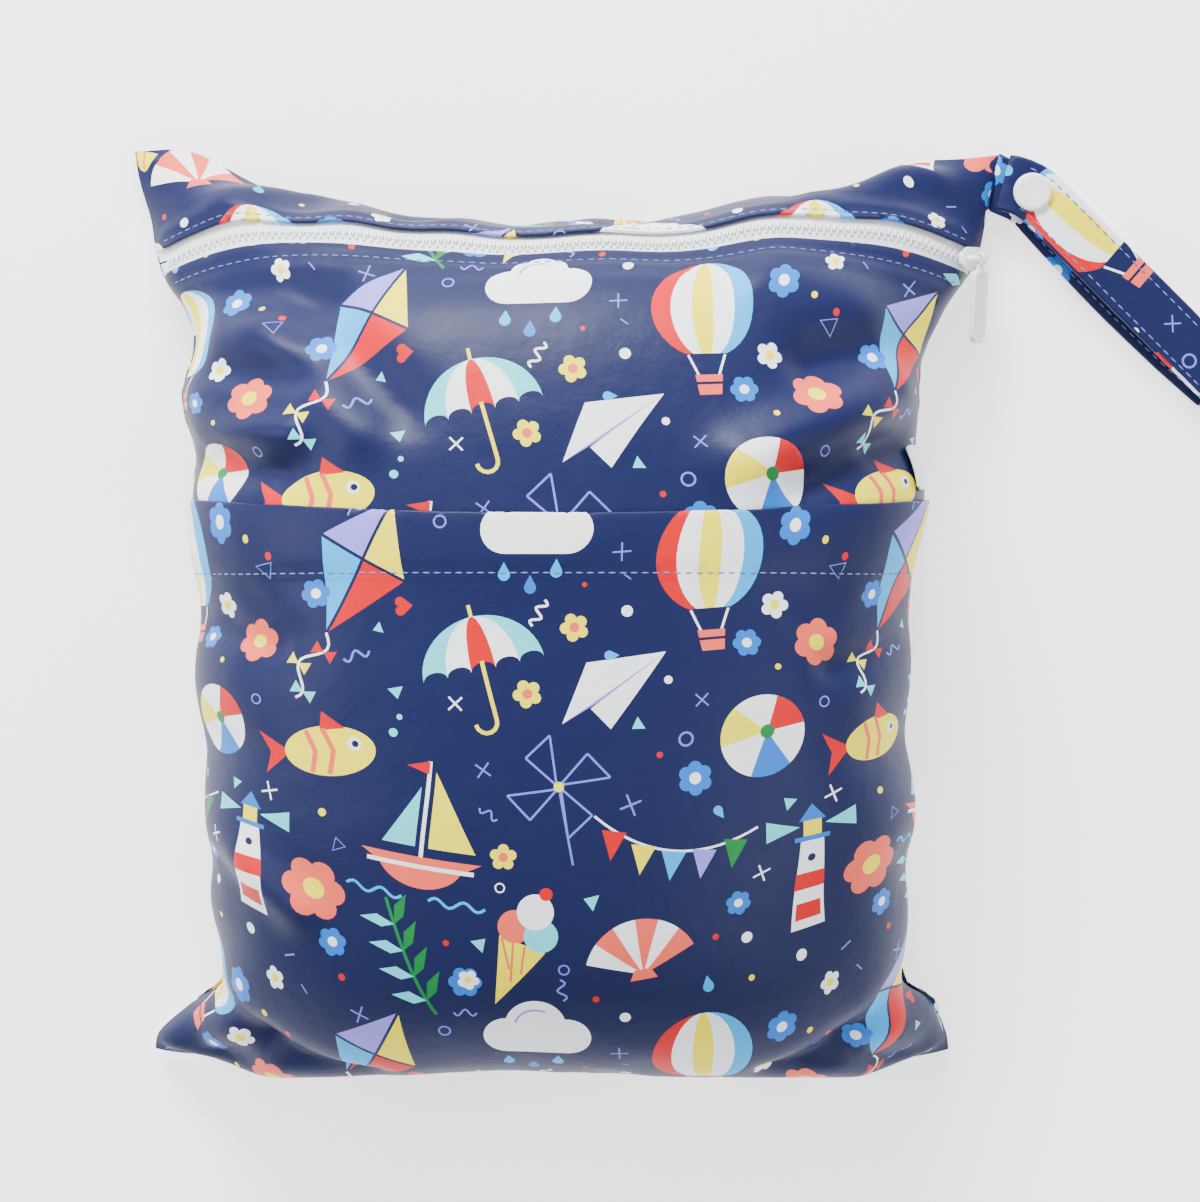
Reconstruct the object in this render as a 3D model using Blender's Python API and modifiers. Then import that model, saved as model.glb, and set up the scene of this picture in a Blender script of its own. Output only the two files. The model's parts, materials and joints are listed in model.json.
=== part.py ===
"""A stuffed cloth wet bag that lies on its back.

X runs across the bag, Y towards its zip and Z up from the floor under it. Lengths are in
metres. Every table holds shares of the named sizes, a row for each section or fold.
"""

import math
from collections import namedtuple

import bmesh
import bpy
from mathutils import Matrix, Vector

# The stuffed bag
BAG_WIDTH = 0.240            # between the side seams at half height
BAG_LENGTH = 0.300           # from the bottom bulge to the zip's level
BAG_THICKNESS = 0.105        # from the floor to the crown of the front
CLOTH = 0.0014               # one wall, print cloth and its waterproof backing
SEAM_GAP = 0.0004            # between the walls that a seam joins
LAYER_GAP = 0.0005           # between cloth that lies on cloth
SEAM_PUCKER = 0.0012         # how far the side seams wave in and out
PUCKERS = 7                  # waves along one side seam

# The zip
ZIP_DROP = 0.043             # from the top seam down to the zip's middle
ZIP_STRIP = 0.0085           # white strip between the two folded cloth edges
TAPE_WIDTH = 0.026           # whole zip tape, mostly under the cloth
TAPE = 0.0010
COIL_WIDTH = 0.0042
COIL_PROUD = 0.0008          # coil above its tape
SLIDER_LENGTH = 0.0105
SLIDER_WIDTH = 0.0080
SLIDER_HEIGHT = 0.0026
SLIDER_INSET = 0.0010        # from the side seam to the slider's near end
BRIDGE_RADIUS = 0.0009       # the bar that the pull hangs on
BRIDGE_CLEAR = 0.0029        # from the slider's top to the bar's axis
BRIDGE_POST = 0.0016
PULL_EYE_WALL = 0.0011
PULL_EYE_CLEAR = 0.0004      # round the bar, and beside the posts
PULL_LENGTH = 0.0285
PULL_WIDTH = 0.0074
PULL_THICKNESS = 0.0017
PULL_NECK = 0.0036           # from the bar's axis to the wide tab
PULL_EYE_WIDTH = 0.0026
PULL_DROOP = math.radians(3)  # how far the tab leans down from square to the slider

# The pocket over the lower front
POCKET_DEPTH = 0.237         # from the bottom seam to the pocket's mouth
HEM = 0.020
HEM_EXTRA = 0.0008           # the turned-over cloth adds this much

# The tag in the right side seam
TAG_ABOVE_POCKET = 0.003
TAG_WIDTH = 0.016
TAG_TURN = math.radians(70)  # how far round the shoulder the tag reaches
TAG = 0.0006

# The carrying strap and its snap
STRAP_WIDTH = 0.0195
STRAP = 0.0020
STRAP_REACH = 0.112          # from the side seam to the strap's far end
STRAP_OPEN = 0.0080          # between the two layers
STRAP_SKEW = 0.0035          # the lower layer peeks out by this much
STRAP_BEND_START = 0.006
STRAP_BEND_LENGTH = 0.012
STRAP_BEND = math.radians(45)
STRAP_START_TURN = math.radians(-15)
SNAP_CAP = 0.0130            # diameter of the white cap
SNAP_CAP_HEIGHT = 0.0020
SNAP_SOCKET = 0.0090
SNAP_REACH = 0.0125          # from the side seam to the snap's middle
SNAP_HEIGHT = 0.0034         # between the strap's layers
STRAP_END = 0.0045           # where the upper layer stops, from the seam

# Sections of the bag from the bottom seam to the top seam. Widths are shares of half the
# bag's width, places along Y of half its length and heights of its thickness.
Section = namedtuple(
    "Section", "along side_y middle_y left right crown seam bend fullness ripple")
SECTIONS = (
    Section(0.000, -0.935, -0.933, 1.095, 1.098, 0.248, 0.038, 3.0, 1.50, -0.012),
    Section(0.024, -0.890, -0.954, 1.090, 1.085, 0.335, 0.050, 9.0, 1.35, -0.012),
    Section(0.052, -0.815, -0.962, 1.025, 1.045, 0.430, 0.086, 12.0, 1.10, -0.012),
    Section(0.113, -0.753, -0.935, 0.967, 0.975, 0.650, 0.152, 7.0, 0.90, -0.004),
    Section(0.203, -0.587, -0.773, 0.975, 0.979, 0.867, 0.267, 3.0, 0.85, 0.000),
    Section(0.322, -0.360, -0.480, 0.983, 0.983, 0.971, 0.333, 2.5, 0.85, 0.000),
    Section(0.439, -0.133, -0.180, 0.992, 0.992, 1.000, 0.362, 2.0, 0.85, 0.000),
    Section(0.567, 0.147, 0.147, 1.000, 0.996, 0.995, 0.362, 2.0, 0.85, 0.000),
    Section(0.618, 0.310, 0.277, 1.012, 1.025, 0.981, 0.352, 2.0, 0.85, 0.000),
    Section(0.714, 0.493, 0.520, 1.025, 1.014, 0.924, 0.324, 2.0, 0.87, 0.000),
    Section(0.798, 0.660, 0.720, 1.029, 1.022, 0.810, 0.267, 2.0, 0.90, 0.012),
    Section(0.877, 0.822, 0.846, 1.107, 1.155, 0.606, 0.157, 2.0, 1.35, 0.050),
    Section(0.900, 0.872, 0.891, 1.127, 1.185, 0.566, 0.130, 2.0, 1.43, 0.055),
    Section(0.951, 0.973, 0.930, 1.163, 1.217, 0.370, 0.086, 1.7, 1.45, 0.035),
    Section(1.000, 1.100, 0.930, 1.200, 1.258, 0.181, 0.048, 1.4, 1.40, 0.000),
)

# Folds of the front, each a ridge or, with a height below zero, a crease. Its ends are
# given across (-1 to 1) and along (0 to 1), its width as a share of half the bag's width
# and its height of the bag's thickness.
Fold = namedtuple("Fold", "across_a along_a across_b along_b width height")
FOLDS = (
    Fold(0.52, 0.665, 0.93, 0.735, 0.10, 0.045),
    Fold(0.66, 0.640, 0.97, 0.690, 0.07, -0.035),
    Fold(0.70, 0.760, 0.97, 0.800, 0.08, -0.040),
    Fold(0.55, 0.835, 0.90, 0.800, 0.09, 0.028),
    Fold(-0.66, 0.800, -0.42, 0.715, 0.09, -0.028),
    Fold(-0.80, 0.790, -0.55, 0.690, 0.09, 0.026),
    Fold(-0.96, 0.770, -0.70, 0.745, 0.06, -0.035),
    Fold(-0.97, 0.700, -0.72, 0.690, 0.06, 0.030),
    Fold(-0.97, 0.655, -0.74, 0.650, 0.06, -0.030),
    Fold(-0.97, 0.840, -0.60, 0.825, 0.07, -0.032),
    Fold(-0.98, 0.520, -0.78, 0.500, 0.06, -0.025),
    Fold(0.76, 0.480, 0.98, 0.500, 0.06, -0.025),
    Fold(-0.97, 0.300, -0.74, 0.250, 0.07, 0.025),
    Fold(-0.94, 0.120, -0.55, 0.085, 0.06, -0.040),
    Fold(0.95, 0.130, 0.62, 0.090, 0.06, -0.040),
    Fold(-0.90, 0.045, -0.84, 0.110, 0.05, -0.035),
    Fold(0.90, 0.045, 0.84, 0.110, 0.05, -0.035),
    Fold(-0.35, 0.945, -0.15, 0.985, 0.06, -0.030),
    Fold(0.10, 0.940, 0.22, 0.985, 0.06, -0.028),
    Fold(-0.80, 0.925, -0.60, 0.975, 0.07, 0.030),
    Fold(0.62, 0.930, 0.84, 0.970, 0.07, 0.030),
)

BASE_COLUMNS = 24            # facets across the bag
BASE_ROWS = (
    0.0, 0.020, 0.045, 0.075, 0.110, 0.150, 0.200, 0.255, 0.310, 0.365, 0.420, 0.475,
    0.520, 0.590, 0.645, 0.690, 0.722, 0.755, 0.785, 0.812, 0.948, 0.975, 1.0)

COLORS = {
    "printed_cloth": ((0.030, 0.055, 0.160, 1.0), 0.38, 0.0),
    "zip_tape": ((0.80, 0.80, 0.81, 1.0), 0.75, 0.0),
    "zip_plastic": ((0.84, 0.84, 0.85, 1.0), 0.35, 0.0),
    "snap_plastic": ((0.86, 0.86, 0.87, 1.0), 0.25, 0.0),
    "tag_ribbon": ((0.83, 0.83, 0.82, 1.0), 0.60, 0.0),
}


def clear_scene():
    for obj in list(bpy.data.objects):
        bpy.data.objects.remove(obj, do_unlink=True)


def blend_rows(along):
    """The section at one share of the way up, by smooth cubic steps between the rows."""
    last = len(SECTIONS) - 1
    step = 0
    while step < last - 1 and SECTIONS[step + 1].along < along:
        step += 1
    low, high = SECTIONS[step], SECTIONS[step + 1]
    below, above = SECTIONS[max(step - 1, 0)], SECTIONS[min(step + 2, last)]
    span = high.along - low.along
    t = (along - low.along) / span
    values = [along]
    for name in Section._fields[1:]:
        a, b = getattr(low, name), getattr(high, name)
        slope_a = (b - getattr(below, name)) / (high.along - below.along) * span
        slope_b = (getattr(above, name) - a) / (above.along - low.along) * span
        values.append(
            a * (2 * t ** 3 - 3 * t ** 2 + 1) + slope_a * (t ** 3 - 2 * t ** 2 + t)
            + b * (3 * t ** 2 - 2 * t ** 3) + slope_b * (t ** 3 - t ** 2))
    return Section(*values)


def half_width(row, across):
    """From the middle line to the side seam, which waves where its stitches pull."""
    share = row.left if across < 0 else row.right
    wave = math.sin(2 * math.pi * PUCKERS * row.along) * math.sin(math.pi * row.along)
    return share * BAG_WIDTH / 2 + SEAM_PUCKER * wave


def rounded_height(row, turn):
    """Height of the front over the floor, before its folds."""
    rise = max(math.cos(turn), 0.0) ** row.fullness
    return BAG_THICKNESS * (row.seam + (row.crown - row.seam) * rise)


def seam_level(turn, along):
    """Height of the surface that the seam spans, from side to side and end to end."""
    row, bottom, top = blend_rows(along), blend_rows(0.0), blend_rows(1.0)
    bottom_rise = rounded_height(bottom, turn) - BAG_THICKNESS * bottom.seam
    top_rise = rounded_height(top, turn) - BAG_THICKNESS * top.seam
    return BAG_THICKNESS * row.seam + (1 - along) * bottom_rise + along * top_rise


def plain_front(turn, along):
    """The front's outer face without its folds."""
    row = blend_rows(along)
    across = math.sin(turn)
    bow = abs(across) ** row.bend
    y = row.middle_y + (row.side_y - row.middle_y) * bow
    y += row.ripple * math.sin(math.pi * across ** 2)
    return Vector((
        across * half_width(row, across), y * BAG_LENGTH / 2, rounded_height(row, turn)))


def middle_cloth():
    """Length of the front's cloth along the middle, from seam to seam."""
    steps = 60
    points = [plain_front(0.0, step / steps) for step in range(steps + 1)]
    return sum((b - a).length for a, b in zip(points, points[1:]))


FRONT_CLOTH = middle_cloth()


def fold_height(across, along):
    """How far the folds lift the cloth from its plain form."""
    run = FRONT_CLOTH / (BAG_WIDTH / 2)
    here = Vector((across, along * run))
    lift = 0.0
    for fold in FOLDS:
        start = Vector((fold.across_a, fold.along_a * run))
        path = Vector((fold.across_b, fold.along_b * run)) - start
        share = min(max((here - start).dot(path) / path.dot(path), 0.0), 1.0)
        away = (here - start - path * share).length / fold.width
        lift += fold.height * math.exp(-away ** 2)
    edge_fade = (1 - abs(across) ** 10) * min(1.0, min(along, 1 - along) / 0.03)
    return BAG_THICKNESS * lift * edge_fade


def outward(turn, along):
    """Direction straight out of the plain front."""
    step = 0.01
    low, high = max(along - step, 0.0), min(along + step, 1.0)
    left = max(turn - step, -math.pi / 2)
    right = min(turn + step, math.pi / 2)
    across = plain_front(right, along) - plain_front(left, along)
    up = plain_front(turn, high) - plain_front(turn, low)
    return across.cross(up).normalized()


def shrink(point, half, level, inset):
    """The same point on a bag that is smaller all round by the inset."""
    half_rise = BAG_THICKNESS / 2
    half_length = BAG_LENGTH / 2
    return Vector((
        point.x * (half - inset) / half,
        point.y * (half_length - inset) / half_length,
        level + (point.z - level) * (half_rise - inset) / half_rise))


def front(turn, along, inset):
    """A point of the folded front, the inset under its outer face."""
    across = math.sin(turn)
    point = plain_front(turn, along)
    lift = fold_height(across, along)
    if abs(lift) > 1e-6:
        point = point + outward(turn, along) * lift
    half = half_width(blend_rows(along), across)
    placed = shrink(point, half, seam_level(turn, along), inset)
    return placed + Vector((0, 0, SEAM_GAP / 2))


def back(turn, along, inset):
    """A point of the back, flat on the floor inside its turned-up rim."""
    row, bottom, top = blend_rows(along), blend_rows(0.0), blend_rows(1.0)
    across = math.sin(turn)
    bend = bottom.bend + (top.bend - bottom.bend) * along
    middle_y = bottom.middle_y + (top.middle_y - bottom.middle_y) * along
    y = (middle_y + (row.side_y - middle_y) * abs(across) ** bend) * BAG_LENGTH / 2
    half = half_width(row, across)
    nearness = max(math.cos(turn), 0.0) ** 0.8 * max(math.sin(math.pi * along), 0.0) ** 0.6
    settle = 1 - (1 - min(1.0, nearness / 0.74)) ** 1.6
    level = seam_level(turn, along) - SEAM_GAP / 2
    flat = shrink(Vector((across * half, y, level)), half, level, inset)
    return Vector((flat.x, flat.y, level * (1 - settle) + inset * settle))


def along_up(distance):
    """Share of the way up for a distance along the front's middle line."""
    return distance / FRONT_CLOTH


def along_side(start, length, step=0.001):
    """Share reached when a real length is walked along the right side seam from a share."""
    along = start
    walked = 0.0
    while walked < length:
        here = plain_front(math.pi / 2, along)
        walked += (plain_front(math.pi / 2, along + step) - here).length
        along += step
    return along


POCKET_TOP = along_up(POCKET_DEPTH)
HEM_LOW = along_up(POCKET_DEPTH - HEM)
HEM_STEP = along_up(POCKET_DEPTH - HEM + 2 * HEM_EXTRA)
ZIP = 1 - along_up(ZIP_DROP)
STRIP_LOW = ZIP - along_up(ZIP_STRIP / 2)
STRIP_HIGH = ZIP + along_up(ZIP_STRIP / 2)
TAPE_LOW = ZIP - along_up(TAPE_WIDTH / 2)
TAPE_HIGH = ZIP + along_up(TAPE_WIDTH / 2)
COIL_LOW = ZIP - along_up(COIL_WIDTH / 2)
COIL_HIGH = ZIP + along_up(COIL_WIDTH / 2)
COIL_SLIT = along_up(LAYER_GAP)
TAG_LOW = along_side(POCKET_TOP, TAG_ABOVE_POCKET)
TAG_HIGH = along_side(TAG_LOW, TAG_WIDTH)


def shared_rows():
    """Rows of facets that every layer of the bag shares, so that the layers stay parallel."""
    edges = [HEM_LOW, HEM_STEP, POCKET_TOP, TAG_LOW, TAG_HIGH, TAPE_LOW, TAPE_HIGH,
             STRIP_LOW, STRIP_HIGH]
    closest = along_up(0.0045)
    rows = list(edges)
    for row in BASE_ROWS:
        if row in (0.0, 1.0) or all(abs(row - edge) > closest for edge in edges):
            rows.append(row)
    return sorted(rows)


def shared_columns():
    """Turns from the left side seam, over the crown, to the right side seam."""
    step = math.pi / BASE_COLUMNS
    turns = [step * index - math.pi / 2 for index in range(BASE_COLUMNS + 1)]
    nearest = min(range(1, BASE_COLUMNS), key=lambda index: abs(turns[index] - TAG_TURN))
    turns[nearest] = TAG_TURN
    return turns


def rows_between(low, high):
    slack = 1e-9
    return [row for row in shared_rows() if low - slack <= row <= high + slack]


def material(name):
    found = bpy.data.materials.get(name)
    if found:
        return found
    color, roughness, metallic = COLORS[name]
    made = bpy.data.materials.new(name)
    made.use_nodes = True
    shader = made.node_tree.nodes["Principled BSDF"]
    shader.inputs["Base Color"].default_value = color
    shader.inputs["Roughness"].default_value = roughness
    shader.inputs["Metallic"].default_value = metallic
    made.diffuse_color = color
    return made


def finish_object(mesh, name, finish, collection, smooth=True):
    """Turn a bmesh into a named object with its material."""
    data = bpy.data.meshes.new(name)
    mesh.to_mesh(data)
    mesh.free()
    if smooth:
        data.shade_smooth()
        data.set_sharp_from_angle(angle=math.radians(40))
    data.materials.append(material(finish))
    obj = bpy.data.objects.new(name, data)
    collection.objects.link(obj)
    return obj


def placed_grid(mesh, columns, rows, place):
    """A grid whose points a function of column and row puts in their place."""
    wide, tall = len(columns) - 1, len(rows) - 1
    made = bmesh.ops.create_grid(mesh, x_segments=wide, y_segments=tall, size=1.0)
    for vert in made["verts"]:
        column = columns[round((vert.co.x + 1) / 2 * wide)]
        row = rows[round((vert.co.y + 1) / 2 * tall)]
        vert.co = place(column, row)
    return made["verts"]


def cloth_wall(name, face, columns, rows, inner, outer, finish, collection):
    """A wall between two insets under one face of the bag, each a number or a function."""
    mesh = bmesh.new()
    outer_at = outer if callable(outer) else (lambda row: outer)
    placed_grid(mesh, columns, rows, lambda turn, row: face(turn, row, outer_at(row)))
    outer_faces = set(mesh.faces)
    placed_grid(mesh, columns, rows, lambda turn, row: face(turn, row, inner))
    inner_faces = [polygon for polygon in mesh.faces if polygon not in outer_faces]
    bmesh.ops.reverse_faces(mesh, faces=inner_faces)
    rims = [edge for edge in mesh.edges if edge.is_boundary]
    bmesh.ops.bridge_loops(mesh, edges=rims)
    bmesh.ops.recalc_face_normals(mesh, faces=mesh.faces[:])
    if mesh.calc_volume(signed=True) < 0:
        bmesh.ops.reverse_faces(mesh, faces=mesh.faces[:])
    bmesh.ops.triangulate(
        mesh, faces=mesh.faces[:], quad_method="FIXED", ngon_method="BEAUTY")
    return finish_object(mesh, name, finish, collection)


def box(mesh, size, middle):
    place = Matrix.Translation(middle) @ Matrix.Diagonal((*size, 1.0))
    return bmesh.ops.create_cube(mesh, size=1.0, matrix=place)["verts"]


def rod(mesh, radius, length, middle, sides, spin):
    """A cylinder, upright unless spin turns it."""
    return bmesh.ops.create_cone(
        mesh, cap_ends=True, segments=sides, radius1=radius, radius2=radius, depth=length,
        matrix=Matrix.Translation(middle) @ spin)["verts"]


def combine(base, other, operation):
    """Join or cut one object by another and keep the result as its mesh."""
    change = base.modifiers.new(operation.lower(), "BOOLEAN")
    change.operation = operation
    change.solver = "EXACT"
    change.object = other
    bpy.context.view_layer.update()
    seen = base.evaluated_get(bpy.context.evaluated_depsgraph_get())
    result = bpy.data.meshes.new_from_object(seen)
    base.modifiers.clear()
    base.data = result
    bpy.data.objects.remove(other, do_unlink=True)


def scratch_piece(build, collection, finish):
    mesh = bmesh.new()
    build(mesh)
    return finish_object(mesh, "blank", finish, collection, smooth=False)


def make_cloth(collection):
    """The walls of the bag, its pocket and the tag in its side seam."""
    columns = shared_columns()
    skin = -LAYER_GAP
    hem_rows = -(LAYER_GAP + CLOTH + HEM_EXTRA)
    cloth_wall("back_panel", back, columns, shared_rows(), CLOTH, 0.0,
               "printed_cloth", collection)
    cloth_wall("front_panel", front, columns, rows_between(0.0, STRIP_LOW), CLOTH, 0.0,
               "printed_cloth", collection)
    cloth_wall("top_band", front, columns, rows_between(STRIP_HIGH, 1.0), CLOTH, 0.0,
               "printed_cloth", collection)
    cloth_wall("front_pocket", front, columns, rows_between(0.0, POCKET_TOP), skin,
               lambda row: hem_rows if row > HEM_LOW + 1e-9 else skin - CLOTH,
               "printed_cloth", collection)
    tag_columns = [turn for turn in columns if turn >= TAG_TURN - 1e-9][:-1]
    cloth_wall("side_tag", front, tag_columns, rows_between(TAG_LOW, TAG_HIGH),
               skin, skin - TAG, "tag_ribbon", collection)


def make_zip(collection):
    """The two tapes, the closed coil between them, the slider and its pull."""
    columns = shared_columns()[1:-1]
    tape_top = CLOTH + LAYER_GAP
    tape_bottom = tape_top + TAPE
    cloth_wall("zip_tape_lower", front, columns,
               [TAPE_LOW, STRIP_LOW, COIL_LOW - COIL_SLIT], tape_bottom, tape_top,
               "zip_tape", collection)
    cloth_wall("zip_tape_upper", front, columns,
               [COIL_HIGH + COIL_SLIT, STRIP_HIGH, TAPE_HIGH], tape_bottom, tape_top,
               "zip_tape", collection)
    cloth_wall("zip_coil", front, columns, [COIL_LOW, ZIP, COIL_HIGH], tape_bottom,
               lambda row: tape_top - (COIL_PROUD if row == ZIP else 0.0),
               "zip_plastic", collection)


def zip_turn(length):
    """Turn reached when a length is walked along the zip from its right end."""
    turn, step, walked = math.pi / 2, 0.005, 0.0
    while walked < length:
        walked += (front(turn, ZIP, 0.0) - front(turn - step, ZIP, 0.0)).length
        turn -= step
    return turn


def slider_frame():
    """Placing of the slider: its bar at the origin and along X, Z straight out of the bag."""
    near = front(zip_turn(SLIDER_INSET), ZIP, 0.0)
    far = front(zip_turn(SLIDER_INSET + SLIDER_LENGTH), ZIP, 0.0)
    middle = (near + far) / 2
    along_bar = Vector((near.x - far.x, 0, near.z - far.z)).normalized()
    out = Vector((-along_bar.z, 0, along_bar.x))
    highest = 0.0
    for turn in shared_columns() + [zip_turn(SLIDER_INSET + SLIDER_LENGTH / 2)]:
        for row in (STRIP_LOW, ZIP, STRIP_HIGH):
            away = front(turn, row, 0.0) - middle
            if abs(away.dot(along_bar)) < SLIDER_LENGTH:
                highest = max(highest, away.dot(out))
    rise = highest + LAYER_GAP + SLIDER_HEIGHT + BRIDGE_CLEAR
    turned = Matrix((along_bar, Vector((0, 1, 0)), out)).transposed().to_4x4()
    return Matrix.Translation(middle + out * rise) @ turned


def make_slider(collection):
    """The slider's plate and the bridge whose bar carries the pull."""
    top = -BRIDGE_CLEAR
    post_x = PULL_EYE_WIDTH / 2 + PULL_EYE_CLEAR + BRIDGE_POST / 2
    along_x = Matrix.Rotation(math.pi / 2, 4, "Y")

    def plate(mesh):
        box(mesh, (SLIDER_LENGTH, SLIDER_WIDTH, SLIDER_HEIGHT),
            Vector((0, 0, top - SLIDER_HEIGHT / 2)))
        upright = [edge for edge in mesh.edges
                   if abs(edge.verts[0].co.z - edge.verts[1].co.z) > SLIDER_HEIGHT / 2]
        bmesh.ops.bevel(mesh, geom=upright, offset=SLIDER_WIDTH * 0.25, segments=2,
                        profile=0.5, affect="EDGES", material=-1)

    def post(side):
        def build(mesh):
            low, high = top - SLIDER_HEIGHT / 2, BRIDGE_RADIUS
            box(mesh, (BRIDGE_POST, 2 * BRIDGE_RADIUS, high - low),
                Vector((side * post_x, 0, (low + high) / 2)))
        return build

    def bar(mesh):
        rod(mesh, BRIDGE_RADIUS, 2 * post_x, Vector(), 10, along_x)

    slider = scratch_piece(plate, collection, "zip_plastic")
    for side in (-1, 1):
        combine(slider, scratch_piece(post(side), collection, "zip_plastic"), "UNION")
    combine(slider, scratch_piece(bar, collection, "zip_plastic"), "UNION")
    slider.name = "zip_slider"
    slider.matrix_world = slider_frame()


def make_pull(collection):
    """The pull tab, with its eye round the slider's bar."""
    eye_inner = BRIDGE_RADIUS + PULL_EYE_CLEAR
    eye_outer = eye_inner + PULL_EYE_WALL
    neck_length = PULL_NECK + PULL_WIDTH * 0.3
    along_x = Matrix.Rotation(math.pi / 2, 4, "Y")

    def tab(mesh):
        length = PULL_LENGTH - PULL_NECK
        middle = Vector((0, -(PULL_NECK + length / 2), 0))
        box(mesh, (PULL_WIDTH, length, PULL_THICKNESS), middle)
        upright = [edge for edge in mesh.edges
                   if abs(edge.verts[0].co.z - edge.verts[1].co.z) > PULL_THICKNESS / 2]
        bmesh.ops.bevel(mesh, geom=upright, offset=PULL_WIDTH * 0.28, segments=3,
                        profile=0.5, affect="EDGES", material=-1)

    def neck(mesh):
        box(mesh, (PULL_EYE_WIDTH, neck_length, PULL_THICKNESS),
            Vector((0, -neck_length / 2, 0)))

    def eye(mesh):
        rod(mesh, eye_outer, PULL_EYE_WIDTH, Vector(), 14, along_x)

    def hole(mesh):
        rod(mesh, eye_inner, PULL_EYE_WIDTH * 3, Vector(), 12, along_x)

    pull = scratch_piece(tab, collection, "zip_plastic")
    combine(pull, scratch_piece(neck, collection, "zip_plastic"), "UNION")
    combine(pull, scratch_piece(eye, collection, "zip_plastic"), "UNION")
    combine(pull, scratch_piece(hole, collection, "zip_plastic"), "DIFFERENCE")
    pull.name = "zip_pull"
    pull.matrix_world = slider_frame() @ Matrix.Rotation(PULL_DROOP, 4, "X")


def strap_root():
    """Middle of the stretch of side seam that holds the strap, and the seam's direction."""
    top = front(math.pi / 2, 1.0, 0.0)
    low = front(math.pi / 2, along_side(1.0, STRAP_WIDTH, -0.001), 0.0)
    seam = Vector((top.x - low.x, top.y - low.y, 0)).normalized()
    clear = Vector((seam.y, -seam.x, 0)) * 2 * LAYER_GAP
    return (top + low) / 2 + clear, seam


def strap_plan(distance):
    """Place and heading of the strap's middle line on the floor plan."""
    root, _ = strap_root()
    steps = 24
    place = Vector((root.x, root.y, 0.0))
    heading = STRAP_START_TURN
    for step in range(steps):
        walked = distance * (step + 0.5) / steps
        turned = min(max((walked - STRAP_BEND_START) / STRAP_BEND_LENGTH, 0.0), 1.0)
        heading = STRAP_START_TURN - (STRAP_BEND + STRAP_START_TURN) * turned
        place += Vector((math.cos(heading), math.sin(heading), 0)) * distance / steps
    return place, heading


def strap_heights(distance):
    """Heights of the middle of the lower and of the upper layer."""
    root, _ = strap_root()
    past_snap = distance - SNAP_REACH - SNAP_CAP / 2
    eased = min(max(past_snap / (STRAP_REACH * 0.4), 0.0), 1.0)
    spread = 0.5 - 0.5 * math.cos(math.pi * eased)
    lower = root.z + (STRAP / 2 - root.z) * spread
    snapped = STRAP + SNAP_HEIGHT + 2 * LAYER_GAP
    return lower, lower + snapped + (STRAP_OPEN + STRAP - snapped) * spread


def strap_path():
    """Distance out, height and sideways shift, out along the floor and back above it."""
    steps = 16
    low_end, high_end = strap_heights(STRAP_REACH)
    radius = (high_end - low_end) / 2
    straight = STRAP_REACH - radius
    path = []
    for step in range(steps + 1):
        distance = straight * step / steps
        path.append((distance, strap_heights(distance)[0]))
    for step in range(1, 8):
        angle = math.pi * step / 8
        path.append((straight + radius * math.sin(angle),
                     low_end + radius * (1 - math.cos(angle))))
    for step in range(steps + 1):
        distance = straight + (STRAP_END - straight) * step / steps
        path.append((distance, strap_heights(distance)[1]))
    return path


def strap_sideways(distance, height):
    """How far the lower layer peeks out from under the upper one."""
    lower, upper = strap_heights(min(distance, STRAP_REACH))
    below = min(max((upper - height) / (upper - lower), 0.0), 1.0)
    return -STRAP_SKEW * below * math.sin(math.pi * min(distance / STRAP_REACH, 1.0)) ** 0.5


def make_strap(collection):
    path = strap_path()
    rows = list(range(len(path)))
    columns = (-0.5, 0.0, 0.5)
    _, seam = strap_root()

    def place(column, row):
        distance, height = path[row]
        middle, heading = strap_plan(distance)
        square = Vector((-math.sin(heading), math.cos(heading), 0))
        sideways = seam.lerp(square, min(distance / STRAP_BEND_START, 1.0)).normalized()
        shift = column * STRAP_WIDTH + strap_sideways(distance, height)
        return middle + sideways * shift + Vector((0, 0, height))

    mesh = bmesh.new()
    placed_grid(mesh, columns, rows, place)
    strap = finish_object(mesh, "strap", "printed_cloth", collection)
    wall = strap.modifiers.new("wall", "SOLIDIFY")
    wall.thickness = STRAP
    wall.offset = 0.0
    wall.use_even_offset = True


def make_snap(collection):
    """The cap on the strap's upper layer and the socket that joins the two layers."""
    middle, _ = strap_plan(SNAP_REACH)
    lower, upper = strap_heights(SNAP_REACH)
    cap_low = upper + STRAP / 2 + LAYER_GAP
    mesh = bmesh.new()
    rod(mesh, SNAP_CAP / 2, SNAP_CAP_HEIGHT, middle + Vector(
        (0, 0, cap_low + SNAP_CAP_HEIGHT / 2)), 24, Matrix())
    rim = [edge for edge in mesh.edges
           if all(vert.co.z > cap_low + SNAP_CAP_HEIGHT / 2 for vert in edge.verts)]
    bmesh.ops.bevel(mesh, geom=rim, offset=SNAP_CAP_HEIGHT * 0.6, segments=3, profile=0.5,
                    affect="EDGES", material=-1)
    finish_object(mesh, "snap_cap", "snap_plastic", collection)
    socket_low = lower + STRAP / 2 + LAYER_GAP
    socket_high = upper - STRAP / 2 - LAYER_GAP
    mesh = bmesh.new()
    rod(mesh, SNAP_SOCKET / 2, socket_high - socket_low, middle + Vector(
        (0, 0, (socket_low + socket_high) / 2)), 20, Matrix())
    finish_object(mesh, "snap_socket", "snap_plastic", collection)


def main():
    clear_scene()
    collection = bpy.data.collections.new("cloth_wet_bag")
    bpy.context.scene.collection.children.link(collection)
    make_cloth(collection)
    make_zip(collection)
    make_slider(collection)
    make_pull(collection)
    make_strap(collection)
    make_snap(collection)


main()
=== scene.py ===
import json
import math
import random
from collections import namedtuple

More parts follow.
